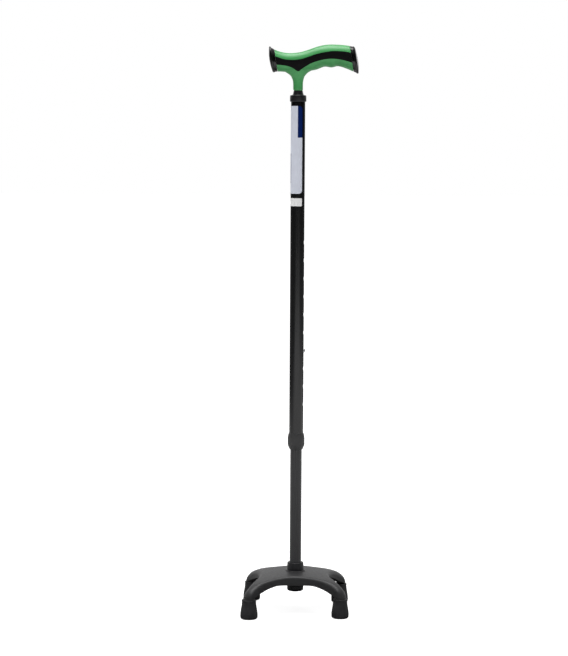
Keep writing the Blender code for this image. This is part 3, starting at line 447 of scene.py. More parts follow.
def soft_rubber(name, colour, roughness, grain=0.5 * MM, depth=0.03 * MM, specular=0.35):
    """Black rubber: a dull pebbled skin with a faint bloom."""
    made, tree, shader, place = new_finish(name, colour, roughness, specular=specular)
    bloom = noise(tree, place, 8 * MM, 4.0)
    mottled(tree, shader, bloom, shade(colour, 0.85), shade(colour, 1.25))
    dulled(tree, shader, noise(tree, place, 2 * MM, 3.0), roughness - 0.06, roughness + 0.06)
    cells = result(tree, "ShaderNodeTexVoronoi", (("Vector", place), ("Scale", 1.0 / grain)),
                "Distance")
    bumped(tree, shader, cells, depth, 0.6)
    return made


def coated_tube(name, colour, roughness, specular=0.5):
    """Drawn aluminium under a coat: fine draw lines along the tube and a slight orange peel."""
    made, tree, shader, place = new_finish(name, colour, roughness, specular=specular)
    flow = noise(tree, place, 20 * MM, 3.0, (1.0, 1.0, 0.1))
    mottled(tree, shader, flow, shade(colour, 0.9), shade(colour, 1.1))
    lines = noise(tree, place, 0.5 * MM, 2.0, (1.0, 1.0, 0.01))
    dulled(tree, shader, lines, roughness - 0.04, roughness + 0.04)
    peel = bumped(tree, shader, noise(tree, place, 1.6 * MM), 0.012 * MM, 0.5)
    bumped(tree, shader, lines, 0.003 * MM, 0.5, peel)
    return made


def bright_steel(name, colour, roughness):
    """Plated steel with fine turning marks."""
    made, tree, shader, place = new_finish(name, colour, roughness, metallic=1.0)
    marks = noise(tree, place, 0.4 * MM, 3.0, (1.0, 1.0, 6.0))
    dulled(tree, shader, marks, roughness - 0.07, roughness + 0.09)
    mottled(tree, shader, noise(tree, place, 6 * MM), shade(colour, 0.88), shade(colour, 1.0))
    bumped(tree, shader, marks, 0.004 * MM, 0.4)
    return made


def printed_box(tree, spot, left, right, low, high):
    """1 inside that box of the label's width and height, else 0."""
    return maths(tree, "MULTIPLY", between(tree, spot["X"], left, right),
                 between(tree, spot["Y"], low, high))


def label_ink(tree):
    """A straight-edged panel at the label's upper right and one thin rule at its lower left."""
    uv = result(tree, "ShaderNodeUVMap", uv_map="print")
    spot = add(tree, "ShaderNodeSeparateXYZ", (("Vector", uv),)).outputs
    return maths(tree, "MAXIMUM", printed_box(tree, spot, *PRINTED_PANEL),
                 printed_box(tree, spot, *PRINTED_RULE))


def printed_film(name, white, with_panel):
    """Glossy white film. The larger label has a plain colour panel and one thin rule."""
    made, tree, shader, place = new_finish(name, white, 0.3, specular=0.08)
    dulled(tree, shader, noise(tree, place, 5 * MM, 3.0), 0.26, 0.4)
    bumped(tree, shader, noise(tree, place, 7 * MM), 0.03 * MM, 0.5)
    grains = noise(tree, place, 10 * MM, 3.0)
    paper = mottled(tree, shader, grains, shade(white, 0.95), shade(white, 1.0))
    if with_panel:
        printed = mixed(tree, label_ink(tree), paper, (*colours().label_blue, 1.0))
        tree.links.new(printed, shader["Base Color"])
    return made


# Meshes

def as_mesh(name, shape):
    """The drawn shape as a plain mesh."""
    mesh = bpy.data.meshes.new(name)
    shape.to_mesh(mesh)
    shape.free()
    return mesh


def new_piece(name, mesh, finish=None):
    mesh.name = name
    made = bpy.data.objects.new(name, mesh)
    bpy.context.scene.collection.objects.link(made)
    if finish is not None:
        mesh.materials.clear()
        mesh.materials.append(finish)
    return made


def settle(name, mesh, finish, body, slot, *nodes, sharp=SHARP_ANGLE):
    """Makes a finished piece and hangs it on its body in place of its frame nodes."""
    mesh.shade_smooth()
    mesh.set_sharp_from_angle(angle=sharp)
    piece = new_piece(name, mesh, finish)
    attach(piece, body)
    if nodes:
        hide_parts(*nodes)


def take(piece):
    """Removes a working object and gives back its mesh with the modifiers applied."""
    bpy.context.view_layer.update()
    ready = bpy.context.evaluated_depsgraph_get()
    mesh = bpy.data.meshes.new_from_object(piece.evaluated_get(ready))
    bpy.data.objects.remove(piece)
    return mesh


def cut(target, cutter, operation="DIFFERENCE"):
    modifier = target.modifiers.new(operation.lower(), "BOOLEAN")
    modifier.operation = operation
    modifier.solver = "EXACT"
    modifier.object = cutter


def soft_profile(corners):
    """Rounds the corners of a turned profile. Each corner is (radius, z, its rounding)."""
    points = []
    for k, (radius, z, rounding) in enumerate(corners):
        here = Vector((radius, z))
        if rounding <= 0.0:
            points.append(here)
            continue
        before = Vector(corners[k - 1][:2]) - here
        after = Vector(corners[(k + 1) % len(corners)][:2]) - here
        reach = min(rounding, before.length * 0.49, after.length * 0.49)
        start = here + before.normalized() * reach
        end = here + after.normalized() * reach
        for step in range(PROFILE_STEPS + 1):
            t = step / PROFILE_STEPS
            points.append(start * (1 - t) ** 2 + here * (2 * t * (1 - t)) + end * t * t)
    return points


def turned(name, corners, centre=(0.0, 0.0), closed=True):
    """A turned mesh round an upright axis. The profile runs down the outer side."""
    segments = sizes().turn_segments
    shape = bmesh.new()
    rows = []
    for point in soft_profile(corners):
        if point.x < ON_AXIS:
            rows.append([shape.verts.new((*centre, point.y))] * segments)
            continue
        turns = [math.tau * k / segments for k in range(segments)]
        rows.append([shape.verts.new((centre[0] + point.x * math.cos(angle),
                                      centre[1] + point.x * math.sin(angle), point.y))
                     for angle in turns])
    pairs = list(zip(rows, rows[1:]))
    if closed:
        pairs.append((rows[-1], rows[0]))
    for upper, lower in pairs:
        for k in range(segments):
            after = (k + 1) % segments
            face = list(dict.fromkeys((upper[k], lower[k], lower[after], upper[after])))
            if len(face) > 2:
                shape.faces.new(face)
    return as_mesh(name, shape)


def loft_mesh(name, rings, triangles=True):
    """A closed body through rings of equal point count, with a flat cap on each end."""
    shape = bmesh.new()
    rows = [[shape.verts.new(point) for point in ring] for ring in rings]
    count = len(rows[0])
    for lower, upper in zip(rows, rows[1:]):
        for k in range(count):
            after = (k + 1) % count
            shape.faces.new((lower[k], lower[after], upper[after], upper[k]))
    shape.faces.new(list(reversed(rows[0])))
    shape.faces.new(rows[-1])
    bmesh.ops.recalc_face_normals(shape, faces=shape.faces)
    if triangles:
        bmesh.ops.triangulate(shape, faces=shape.faces)
    return as_mesh(name, shape)


def upright_rod(name, radius, low, high, centre=(SHAFT_X, 0.0), segments=ROD_SIDES):
    shape = bmesh.new()
    middle = Matrix.Translation((*centre, (low + high) / 2))
    bmesh.ops.create_cone(shape, cap_ends=True, segments=segments, radius1=radius,
                          radius2=radius, depth=high - low, matrix=middle)
    return new_piece(name, as_mesh(name, shape))


def plain_block(name, size, place, turn=0.0):
    shape = bmesh.new()
    bmesh.ops.create_cube(shape, size=1.0)
    bmesh.ops.scale(shape, vec=Vector(size), verts=shape.verts)
    bmesh.ops.rotate(shape, cent=(0, 0, 0), matrix=Matrix.Rotation(turn, 3, "Z"),
                     verts=shape.verts)
    bmesh.ops.translate(shape, vec=Vector(place), verts=shape.verts)
    return new_piece(name, as_mesh(name, shape))


def curve_through(points):
    """A smooth function through (x, value) pairs in mm, giving metres (cubic Hermite)."""
    xs = [x * MM for x, _ in points]
    ys = [y * MM for _, y in points]
    last = len(xs) - 1
    slopes = []
    for k in range(len(xs)):
        before, after = max(k - 1, 0), min(k + 1, last)
        slopes.append((ys[after] - ys[before]) / (xs[after] - xs[before]))

    def value(x):
        k = 0
        while k < last - 1 and x > xs[k + 1]:
            k += 1
        span = xs[k + 1] - xs[k]
        t = min(max((x - xs[k]) / span, 0.0), 1.0)
        start = (1 + 2 * t) * (1 - t) ** 2
        end = t * t * (3 - 2 * t)
        rise = t * (1 - t) ** 2 * span * slopes[k]
        fall = t * t * (t - 1) * span * slopes[k + 1]
        return start * ys[k] + end * ys[k + 1] + rise + fall

    return value


def smoothstep(t):
    t = min(max(t, 0.0), 1.0)
    return t * t * (3 - 2 * t)


# Handle

bar_top = curve_through(BAR_TOP)
bar_bottom = curve_through(BAR_BOTTOM)
bar_half_width = curve_through(BAR_HALF_WIDTH)


def squared(wave):
    """A sine or cosine drawn out towards a rounded square."""
    return math.copysign(abs(wave) ** (2 / BAR_SQUARENESS), wave)


def bar_ring(station, inset=0.0, scale=1.0, shift=0.0):
    """One leaning cross-section of the handle bar, as a ring of points."""
    lean = math.tan(END_LEAN)
    half = (bar_top(station) - bar_bottom(station)) / 2
    top_z = bar_top(station - lean * half)
    low_z = bar_bottom(station + lean * half)
    half_z = ((top_z - low_z) / 2 - inset) * scale
    half_y = (bar_half_width(station) - inset) * scale
    ring = []
    for k in range(BAR_SIDES):
        angle = math.tau * (k + 0.5) / BAR_SIDES
        up = half_z * squared(math.sin(angle))
        ring.append((SHAFT_X + station + shift - lean * up, half_y * squared(math.cos(angle)),
                     HANDLE_DATUM + (top_z + low_z) / 2 + up))
    return ring


def bar_mesh(name, start, end, inset=0.0):
    return loft_mesh(name, [bar_ring(start + (end - start) * k / BAR_STATIONS, inset)
                            for k in range(BAR_STATIONS + 1)])


def neck_mesh(name, inset=0.0):
    """The neck, flaring upwards into the bar."""
    half_x, half_y, lean = (curve_through([(row[0], row[k]) for row in NECK_SECTIONS])
                            for k in (1, 2, 3))
    sections = [(z * MM, wide * MM, deep * MM, 0.0) for z, wide, deep in NECK_FOOT]
    low, high = NECK_SECTIONS[0][0] * MM, NECK_SECTIONS[-1][0] * MM
    for row in range(NECK_ROWS + 1):
        z = low + (high - low) * row / NECK_ROWS
        sections.append((z, half_x(z), half_y(z), lean(z)))
    turns = [math.tau * k / BAR_SIDES for k in range(BAR_SIDES)]
    return loft_mesh(name, [[(SHAFT_X + shift + (wide - inset) * math.cos(angle),
                              (deep - inset) * math.sin(angle), HANDLE_DATUM + z)
                             for angle in turns] for z, wide, deep, shift in sections])


def cap_stations():
    """Where each end cap begins and ends along the bar."""
    return (-HANDLE_SHORT + CAP_LENGTH, -HANDLE_SHORT), (HANDLE_LONG - CAP_LENGTH, HANDLE_LONG)


def blended_handle():
    """Bar and neck as one moulded form, smoothed where they meet."""
    short, long = cap_stations()
    form = new_piece("handle_form", bar_mesh("handle_form", short[0] + GAP, long[0] - GAP))
    neck = new_piece("neck_form", neck_mesh("neck_form"))
    cut(form, neck, "UNION")
    remesh = form.modifiers.new("even", "REMESH")
    remesh.mode = "VOXEL"
    remesh.voxel_size = sizes().form_step
    mesh = take(form)
    bpy.data.objects.remove(neck)
    form = new_piece("handle_form", mesh)
    near_ends = form.vertex_groups.new(name="all_but_ends")
    near_neck = form.vertex_groups.new(name="blend")
    for vert in mesh.vertices:
        along = vert.co.x - SHAFT_X
        off = abs(vert.co.z - HANDLE_DATUM - BLEND_MIDDLE)
        weight = smoothstep(1.5 - 1.5 * off / BLEND_REACH_Z)
        weight *= smoothstep(2.0 - 2.0 * abs(along) / BLEND_REACH_X)
        weight *= abs(vert.normal.y) ** 0.5
        near_neck.add([vert.index], weight, "REPLACE")
        from_end = min(along - short[0], long[0] - along)
        near_ends.add([vert.index], smoothstep(from_end / END_BLEND_REACH), "REPLACE")
    for group, passes in ((near_neck, BLEND_PASSES), (near_ends, END_BLEND_PASSES)):
        smooth = form.modifiers.new("smooth", "SMOOTH")
        smooth.vertex_group = group.name
        smooth.factor = 0.5
        smooth.iterations = passes
    return take(form)


def band_plate(name, grow, side):
    """The band's outline in the side view, as a thick upright plate on one side."""
    start, end = -HANDLE_SHORT - OVERCUT, HANDLE_LONG + OVERCUT
    stations = [start + (end - start) * k / BAND_STEPS for k in range(BAND_STEPS + 1)]
    upper, lower = curve_through(BAND_UPPER), curve_through(BAND_LOWER)
    outline = [(x, lower(x) - grow) for x in stations]
    outline += [(x, upper(x) + grow) for x in reversed(stations)]
    return new_piece(name, loft_mesh(name, [
        [(SHAFT_X + x, side * y, HANDLE_DATUM + z) for x, z in outline]
        for y in (BAND_INNER_Y, BAND_OUTER_Y)]))


def inner_core(name, inset):
    """Bar and neck drawn in all round, which set how deep the band goes."""
    core = new_piece(name, bar_mesh(name, -HANDLE_SHORT - OVERCUT, HANDLE_LONG + OVERCUT, inset))
    neck = new_piece(f"{name}_neck", neck_mesh(f"{name}_neck", inset))
    cut(core, neck, "UNION")
    return core, neck


class QUADCANE_OT_handle(bpy.types.Operator):
    """Moulded handle with the rubber band let into its two sides"""

    bl_idname = "quadcane.handle"
    bl_label = "Handle and band"

    def execute(self, context):
        form = blended_handle()
        green = moulded_plastic("moulded green", colours().handle_green, 0.38, specular=0.6)
        black = soft_rubber("band rubber", colours().band_black, 0.62, specular=0.12)
        core, core_neck = inner_core("band_core", BAND_DEPTH)
        deep, deep_neck = inner_core("band_deep", BAND_DEPTH + GAP)
        handle = new_piece("handle_blank", form.copy(), green)
        scrap = [core, core_neck, deep, deep_neck]
        for label, side in BAND_SIDES:
            groove = band_plate(f"groove_{label}", GAP / 2, side)
            cut(groove, deep)
            cut(handle, groove)
            scrap.append(groove)
        neck_low = HANDLE_DATUM + NECK_FOOT[0][0] * MM
        bore = upright_rod("stud_bore", STUD_BORE_R, neck_low - OVERCUT,
                           neck_low + STUD_IN_HANDLE)
        cut(handle, bore)
        settle("handle_moulding", take(handle), green, "upper", "green_plastic", "handle_body")
        for label, side in BAND_SIDES:
            plate = band_plate(f"plate_{label}", 0.0, side)
            inlay = new_piece(f"inlay_{label}", form.copy())
            cut(inlay, plate, "INTERSECT")
            cut(inlay, core)
            settle(f"band_{label}", take(inlay), black, "upper", "black_rubber",
                   f"grip_inlay_{label}")
            scrap.append(plate)
        for piece in (*scrap, bore):
            bpy.data.objects.remove(piece)
        return {"FINISHED"}


class QUADCANE_OT_end_caps(bpy.types.Operator):
    """Domed oval caps on the two ends of the handle"""

    bl_idname = "quadcane.end_caps"
    bl_label = "End caps"

    def execute(self, context):
        black = soft_rubber("cap rubber", colours().band_black, 0.16, 0.3 * MM, 0.006 * MM, 0.5)
        for label, (inner, outer), way in zip(("short", "long"), cap_stations(), (-1, 1)):
            rings = [bar_ring(inner, scale=0.3), bar_ring(inner)]
            rim = outer - way * CAP_RIM_T
            for t, proud in CAP_RIM_ROWS:
                rings.append(bar_ring(rim - way * CAP_RIM_PROUD * (1 - t),
                                      inset=-CAP_RIM_PROUD * proud))
            for k in range(CAP_EDGE_ROWS + 1):
                angle = math.pi / 2 * k / CAP_EDGE_ROWS
                rings.append(bar_ring(outer - way * CAP_EDGE_R * (1 - math.sin(angle)),
                                      inset=CAP_EDGE_R * (1 - math.cos(angle)) - CAP_RIM_PROUD))
            for k in range(1, CAP_DOME_ROWS):
                share = k / CAP_DOME_ROWS
                rings.append(bar_ring(outer, inset=(CAP_EDGE_R - CAP_RIM_PROUD) * (1 - share),
                                      scale=1 - share,
                                      shift=way * CAP_DOME * math.sin(math.pi / 2 * share)))
            settle(f"cap_{label}", loft_mesh(f"cap_{label}", rings), black, "upper",
                   "black_rubber", f"end_cap_{label}")
        return {"FINISHED"}


class QUADCANE_OT_neck_collar(bpy.types.Operator):
    """Cone and flange that cover the top of the upper tube"""

    bl_idname = "quadcane.neck_collar"
    bl_label = "Neck collar"

    def execute(self, context):
        low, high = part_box("neck_collar")
        outer = node_width("neck_collar") / 2
        skirt_top = UPPER_TUBE_HIGH + 2.0 * MM
        bore, well = UPPER_TUBE_D / 2 + GAP, 6.0 * MM
        ledge = UPPER_TUBE_HIGH + GAP
        corners = (
            (6.2 * MM, high.z, 0.4 * MM), (7.5 * MM, skirt_top + 0.4 * MM, 0.9 * MM),
            (outer, skirt_top - 0.2 * MM, 1.2 * MM), (outer, low.z, 1.6 * MM),
            (bore, low.z, 0.1 * MM), (bore, ledge, 0.0), (well, ledge, 0.0),
            (well, high.z, 0.2 * MM),
        )
        settle("neck_ferrule", turned("neck_ferrule", corners, (SHAFT_X, 0.0)),
               moulded_plastic("collar black", colours().collar_black, 0.34), "upper",
               "black_plastic", "neck_collar")
        return {"FINISHED"}


# Geometry nodes

SOCKETS = {float: "NodeSocketFloat", int: "NodeSocketInt", type(None): "NodeSocketMaterial"}


def new_tree(name, inputs):
    """A geometry tree with those named inputs, and what its input node gives."""
    tree = bpy.data.node_groups.new(name, "GeometryNodeTree")
    for way in ("OUTPUT", "INPUT"):
        tree.interface.new_socket("Geometry", in_out=way, socket_type="NodeSocketGeometry")
    for label, value in inputs.items():
        socket = tree.interface.new_socket(label, in_out="INPUT",
                                           socket_type=SOCKETS[type(value)])
        if value is not None:
            socket.default_value = value
    return tree, add(tree, "NodeGroupInput").outputs


def run_tree(piece, tree, values):
    """Runs the tree on the piece once, with its inputs set, and keeps the plain mesh."""
    modifier = piece.modifiers.new(tree.name, "NODES")
    modifier.node_group = tree
    for item in tree.interface.items_tree:
        if item.in_out == "INPUT" and item.name in values:
            modifier[item.identifier] = values[item.name]
    return take(piece)


def cylinder(tree, sides, radius, depth):
    return result(tree, "GeometryNodeMeshCylinder", (
        ("Vertices", sides), ("Radius", radius), ("Depth", depth)))


def upwards(tree, height, x=0.0):
    return result(tree, "ShaderNodeCombineXYZ", (("X", x), ("Z", height)))


def moved(tree, shape, way):
    return result(tree, "GeometryNodeTransform", (("Geometry", shape), ("Translation", way)))


def copies(tree, points, shape):
    return result(tree, "GeometryNodeInstanceOnPoints", (("Points", points), ("Instance", shape)))


def real(tree, shape):
    return result(tree, "GeometryNodeRealizeInstances", (("Geometry", shape),))


def cut_away(tree, shape, cutter):
    return result(tree, "GeometryNodeMeshBoolean", (("Mesh 1", shape), ("Mesh 2", cutter)),
               operation="DIFFERENCE", solver="EXACT")


def ended(tree, shape, material):
    """The tree with its shape made real, painted and given out."""
    painted = result(tree, "GeometryNodeSetMaterial", (
        ("Geometry", real(tree, shape)), ("Material", material)))
    add(tree, "NodeGroupOutput", (("Geometry", painted),))
    return tree


def drilled_tube_tree():
    """A tube with a row of holes along one side, drilled by copies of one cutter."""
    tree, given = new_tree("drilled tube", {
        "Outer Radius": 0.01, "Wall": 0.001, "Height": 0.4, "Hole Radius": 0.003,
        "Hole Count": 10, "Hole Pitch": 0.025, "Top Hole": 0.3, "Segments": 96,
        "Material": None})
    outer, height, sides = given["Outer Radius"], given["Height"], given["Segments"]
    lift = upwards(tree, maths(tree, "MULTIPLY", height, 0.5))
    bore_r = maths(tree, "SUBTRACT", outer, given["Wall"])
    bore = cylinder(tree, sides, bore_r, maths(tree, "MULTIPLY", height, BORE_OVERRUN))
    hollow = cut_away(tree, moved(tree, cylinder(tree, sides, outer, height), lift),
                      moved(tree, bore, lift))
    drill = result(tree, "GeometryNodeTransform", (
        ("Geometry", cylinder(tree, DRILL_SIDES, given["Hole Radius"], outer)),
        ("Rotation", (0.0, math.pi / 2, 0.0))))
    row = result(tree, "GeometryNodeMeshLine", (
        ("Count", given["Hole Count"]), ("Start Location", upwards(tree, given["Top Hole"], outer)),
        ("Offset", upwards(tree, maths(tree, "MULTIPLY", given["Hole Pitch"], -1.0)))))
    drills = real(tree, copies(tree, row, drill))
    return ended(tree, cut_away(tree, hollow, drills), given["Material"])


def fluted_tree():
    """Cuts round-ended flutes into the side of a turned piece, evenly round its axis."""
    tree, given = new_tree("flutes", {
        "Flute Count": 8, "Circle Radius": 0.012, "Flute Radius": 0.002, "Flute Height": 0.01,
        "Middle": 0.0, "Material": None})
    radius, height = given["Flute Radius"], given["Flute Height"]
    ring = result(tree, "GeometryNodeMeshCircle", (
        ("Vertices", given["Flute Count"]), ("Radius", given["Circle Radius"])))
    ball = result(tree, "GeometryNodeMeshUVSphere", (
        ("Radius", radius), ("Segments", FLUTE_SIDES), ("Rings", FLUTE_SIDES // 2)))
    ends = [("Mesh 2", moved(tree, ball, upwards(tree, maths(tree, "MULTIPLY", height, share))))
            for share in (0.5, -0.5)]
    capsule = result(tree, "GeometryNodeMeshBoolean", (
        *ends, ("Mesh 2", cylinder(tree, FLUTE_SIDES, radius, height))), operation="UNION",
        solver="EXACT")
    cutters = moved(tree, copies(tree, ring, capsule), upwards(tree, given["Middle"]))
    fluted = cut_away(tree, given["Geometry"], real(tree, cutters))
    return ended(tree, fluted, given["Material"])


class QUADCANE_OT_tubes(bpy.types.Operator):
    """Upper tube with its row of adjusting holes, and the lower tube inside it"""

    bl_idname = "quadcane.tubes"
    bl_label = "Tubes"

    def execute(self, context):
        tree = drilled_tube_tree()
        black = coated_tube("black coat", colours().upper_tube_black, 0.16)
        grey = coated_tube("grey coat", colours().lower_tube_grey, 0.28, 0.45)
        top_hole = BUTTON_Z + (BUTTON_HOLE_NUMBER - 1) * HOLE_PITCH
        for name, node, body, slot, finish, wide, low, high, count, hole in (
                ("outer_tube", "upper_tube", "upper", "black_paint", black, UPPER_TUBE_D,
                 UPPER_TUBE_LOW, UPPER_TUBE_HIGH, HOLE_COUNT, top_hole),
                ("inner_tube", "lower_tube", "base", "grey_aluminium", grey, LOWER_TUBE_D,
                 LOWER_TUBE_LOW, LOWER_TUBE_HIGH, 1, BUTTON_Z)):
            blank = new_piece(f"{name}_blank", bpy.data.meshes.new(name))
            mesh = run_tree(blank, tree, {
                "Outer Radius": wide / 2, "Wall": TUBE_WALL, "Height": high - low,
                "Hole Radius": HOLE_D / 2, "Hole Count": count, "Hole Pitch": HOLE_PITCH,
                "Top Hole": hole - low, "Segments": sizes().turn_segments,
                "Material": finish})
            mesh.transform(Matrix.Translation((SHAFT_X, 0.0, low)))
            settle(name, mesh, finish, body, slot, node)
        return {"FINISHED"}


class QUADCANE_OT_snap_button(bpy.types.Operator):
    """Domed steel button in the seventh hole"""

    bl_idname = "quadcane.snap_button"
    bl_label = "Snap button"

    def execute(self, context):
        low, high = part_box("snap_button")
        head_r, r = (high.z - low.z) / 2, BUTTON_D / 2
        head_x = low.x + BUTTON_HEAD_T
        turns = [math.pi / 2 * k / DOME_ROWS for k in range(DOME_ROWS + 1)]
        corners = [(r * math.sin(angle), high.x - BUTTON_DOME * (1 - math.cos(angle)), 0.0)
                   for angle in turns]
        corners += [(r, head_x, 0.0), (head_r, head_x, 0.2 * MM), (head_r, low.x, 0.2 * MM),
                    (0.0, low.x, 0.0)]
        mesh = turned("button_pin", corners, closed=False)
        mesh.transform(Matrix.Translation((0, 0, BUTTON_Z)) @ Matrix.Rotation(math.pi / 2, 4, "Y"))
        settle("button_pin", mesh, bright_steel("button steel", BUTTON_STEEL, 0.28), "button",
               "steel", "snap_button")
        return {"FINISHED"}


class QUADCANE_OT_lock_nut(bpy.types.Operator):
    """Fluted lock nut below the upper tube"""

    bl_idname = "quadcane.lock_nut"
    bl_label = "Lock nut"

    def execute(self, context):
        low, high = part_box("lock_nut")
        outer, height = NUT_D / 2, high.z - low.z
        bore, tail_bore = UPPER_TUBE_D / 2 + GAP, LOWER_TUBE_D / 2 + GAP
        corners = (
            (outer - 1.35 * MM, height, 0.5 * MM), (outer - 0.9 * MM, height - 1.5 * MM, 0.8 * MM),
            (outer, height - 6.0 * MM, 2.0 * MM), (outer, 6.2 * MM, 1.2 * MM),
            (outer - 1.4 * MM, 2.5 * MM, 0.8 * MM), (outer - 2.5 * MM, 0.0, 0.6 * MM),
            (tail_bore, 0.0, 0.2 * MM), (tail_bore, 2.4 * MM, 0.0),
            (bore - 0.7 * MM, 2.4 * MM, 0.0), (bore, 4.6 * MM, 0.0), (bore, height, 0.2 * MM),
        )
        blank = new_piece("nut_blank", turned("nut_blank", corners))
        finish = moulded_plastic("nut grey", colours().nut_grey, 0.48)
        mesh = run_tree(blank, fluted_tree(), {
            "Flute Count": NUT_FLUTES, "Flute Radius": NUT_FLUTE_R,
            "Circle Radius": outer + NUT_FLUTE_R - NUT_FLUTE_DEPTH,
            "Flute Height": height - NUT_FLUTE_ENDS, "Middle": height * NUT_FLUTE_MIDDLE,
            "Material": finish})
        half_pitch = Matrix.Rotation(math.pi / NUT_FLUTES, 4, "Z")
        mesh.transform(Matrix.Translation((SHAFT_X, 0.0, low.z)) @ half_pitch)
        settle("clamp_nut", mesh, finish, "nut", "dark_plastic", "lock_nut")
        return {"FINISHED"}


# Base

def foot_y_at(x):
    """Half the distance between the front and rear feet on that side."""
    return (FEET_SPAN_LEFT if x < 0 else FEET_SPAN_RIGHT) / 2


def quadrant(foot_y, leg_angle, end):
    """A quarter of the base's outline seen from above, from mid-front to mid-end, x and y up."""
    side = DECK_DEPTH / 2
    start_x = FOOT_X - LEG_R * math.sin(leg_angle)
    start_y = foot_y + LEG_R * math.cos(leg_angle)
    power = math.tan(leg_angle) * (start_x - LEG_CURVE_START) / (start_y - side)
    points = [(LEG_CURVE_START * k / SIDE_POINTS, side) for k in range(SIDE_POINTS)]
    for k in range(CURVE_POINTS):
        t = k / CURVE_POINTS
        points.append((LEG_CURVE_START + (start_x - LEG_CURVE_START) * t,
                       side + (start_y - side) * t ** power))
    turn = math.pi / 2 + leg_angle
    turn += math.atan(NOTCH_POWER * (FOOT_X + LEG_R - end) / foot_y)
    for k in range(FOOT_POINTS + 1):
        angle = math.pi / 2 + leg_angle - turn * k / FOOT_POINTS
        points.append((FOOT_X + LEG_R * math.cos(angle), foot_y + LEG_R * math.sin(angle)))
    join_x, join_y = points[-1]
    for k in range(1, NOTCH_POINTS):
        y = join_y * (1 - k / NOTCH_POINTS)
        points.append((end + (join_x - end) * (y / join_y) ** NOTCH_POWER, y))
    return points


def base_outline():
    """The whole outline, anticlockwise seen from above, from mid-rear."""
    left = quadrant(FEET_SPAN_LEFT / 2, LEG_ANGLE_LEFT, DECK_END_LEFT)
    right = quadrant(FEET_SPAN_RIGHT / 2, LEG_ANGLE_RIGHT, DECK_END_RIGHT)
    outline = [(-x, y) for x, y in left] + [(-DECK_END_LEFT, 0.0)]
    outline += [(-x, -y) for x, y in reversed(left)]
    outline += [(x, -y) for x, y in right[1:]] + [(DECK_END_RIGHT, 0.0)]
    outline += [(x, y) for x, y in reversed(right)][:-1]
    return outline


def shrink(outline, distances):
    """The outline moved inwards along its own normals, by each point's own distance."""
    count = len(outline)
    inner = []
    for k, ((x, y), distance) in enumerate(zip(outline, distances)):
        before, after = outline[k - 1], outline[(k + 1) % count]
        along = Vector((after[0] - before[0], after[1] - before[1])).normalized()
        inner.append((x - along.y * distance, y + along.x * distance))
    return inner


def edge_radius(x, y):
    """Radius of the base's upper edge: small along the deck, large round the legs."""
    away = math.hypot(abs(x) - FOOT_X, abs(y) - foot_y_at(x))
    share = smoothstep(1 - (away - LEG_R) / LEG_EDGE_REACH)
    return DECK_EDGE_R + (LEG_EDGE_R - DECK_EDGE_R) * share


def deck_height(x, y):
    """Height of the deck's top surface: an arch that falls further along each leg."""
    share = min(max((FOOT_X - x) / FEET_SPAN_X, 0.0), 1.0)
    foot_y = (FEET_SPAN_RIGHT + (FEET_SPAN_LEFT - FEET_SPAN_RIGHT) * share) / 2
    fall = DECK_FALL_LEFT if x < 0 else DECK_FALL_RIGHT
    arch = fall * (abs(x) / FOOT_X) ** DECK_FALL_POWER
    crown = DECK_CROWN * (y / (DECK_DEPTH / 2)) ** 2
    start = math.hypot(FOOT_X, foot_y) - LEG_FALL_REACH
    leg = LEG_FALL * max((math.hypot(x, y) - start) / LEG_FALL_REACH, 0.0) ** LEG_FALL_POWER
    return DECK_HEIGHT - arch - crown - leg


def skirt_low(x, y):
    """Height of the skirt's lower edge: highest mid-side, down to the feet at the legs."""
    foot_y = foot_y_at(x)
    if abs(y) * FOOT_X > abs(x) * foot_y:
        top, power = DECK_HEIGHT - SKIRT_HEIGHT, ARCH_POWER
        share = (abs(x) - ARCH_START) / (FOOT_X - ARCH_START - LEG_R / 2)
    else:
        end, lip = (-DECK_END_LEFT, NOTCH_LIP_LEFT) if x < 0 else (DECK_END_RIGHT, NOTCH_LIP_RIGHT)
        top, power = deck_height(end, 0.0) - lip, NOTCH_DROP_POWER
        share = abs(y) / (foot_y - LEG_R / 2)
    return top - (top - FOOT_HEIGHT - GAP) * min(max(share, 0.0), 1.0) ** power


def base_form(name, inset, drop, grid_step, edge_rows, flat_low=None):
    """The base as a closed body with a soft upper edge, its top following the deck."""
    outline = base_outline()
    wall = shrink(outline, [inset] * len(outline))
    radii = [max(edge_radius(x, y) - inset, LEAST_EDGE_R) for x, y in outline]
    lip = shrink(wall, radii)
    rings = [[(x, y, -FLAT_PLATE_T) for x, y in wall]]
    for k in range(edge_rows, -1, -1):
        angle = math.pi / 2 * k / edge_rows
        wide = math.sin(angle)
        rings.append([(lip_x + (x - lip_x) * wide, lip_y + (y - lip_y) * wide,
                       -radius * (1 - math.cos(angle)))
                      for (x, y), (lip_x, lip_y), radius in zip(wall, lip, radii)])
    shape = bmesh.new()
    shape.from_mesh(loft_mesh(name, rings, triangles=False))
    half_count = math.ceil(GRID_REACH / grid_step)
    for normal in (Vector((1.0, 0.0, 0.0)), Vector((0.0, 1.0, 0.0))):
        for k in range(-half_count, half_count):
            everything = shape.verts[:] + shape.edges[:] + shape.faces[:]
            bmesh.ops.bisect_plane(shape, geom=everything, dist=GRID_SNAP,
                                   plane_co=normal * (k + 0.5) * grid_step, plane_no=normal)
    for point in shape.verts:
        x, y, z = point.co
        if z > -FLAT_PLATE_T / 2:
            point.co.z = deck_height(x, y) - drop + z
        else:
            point.co.z = skirt_low(x, y) if flat_low is None else flat_low
    bmesh.ops.triangulate(shape, faces=shape.faces)
    bmesh.ops.translate(shape, vec=(SHAFT_X, 0.0, 0.0), verts=shape.verts)
    return new_piece(name, as_mesh(name, shape))


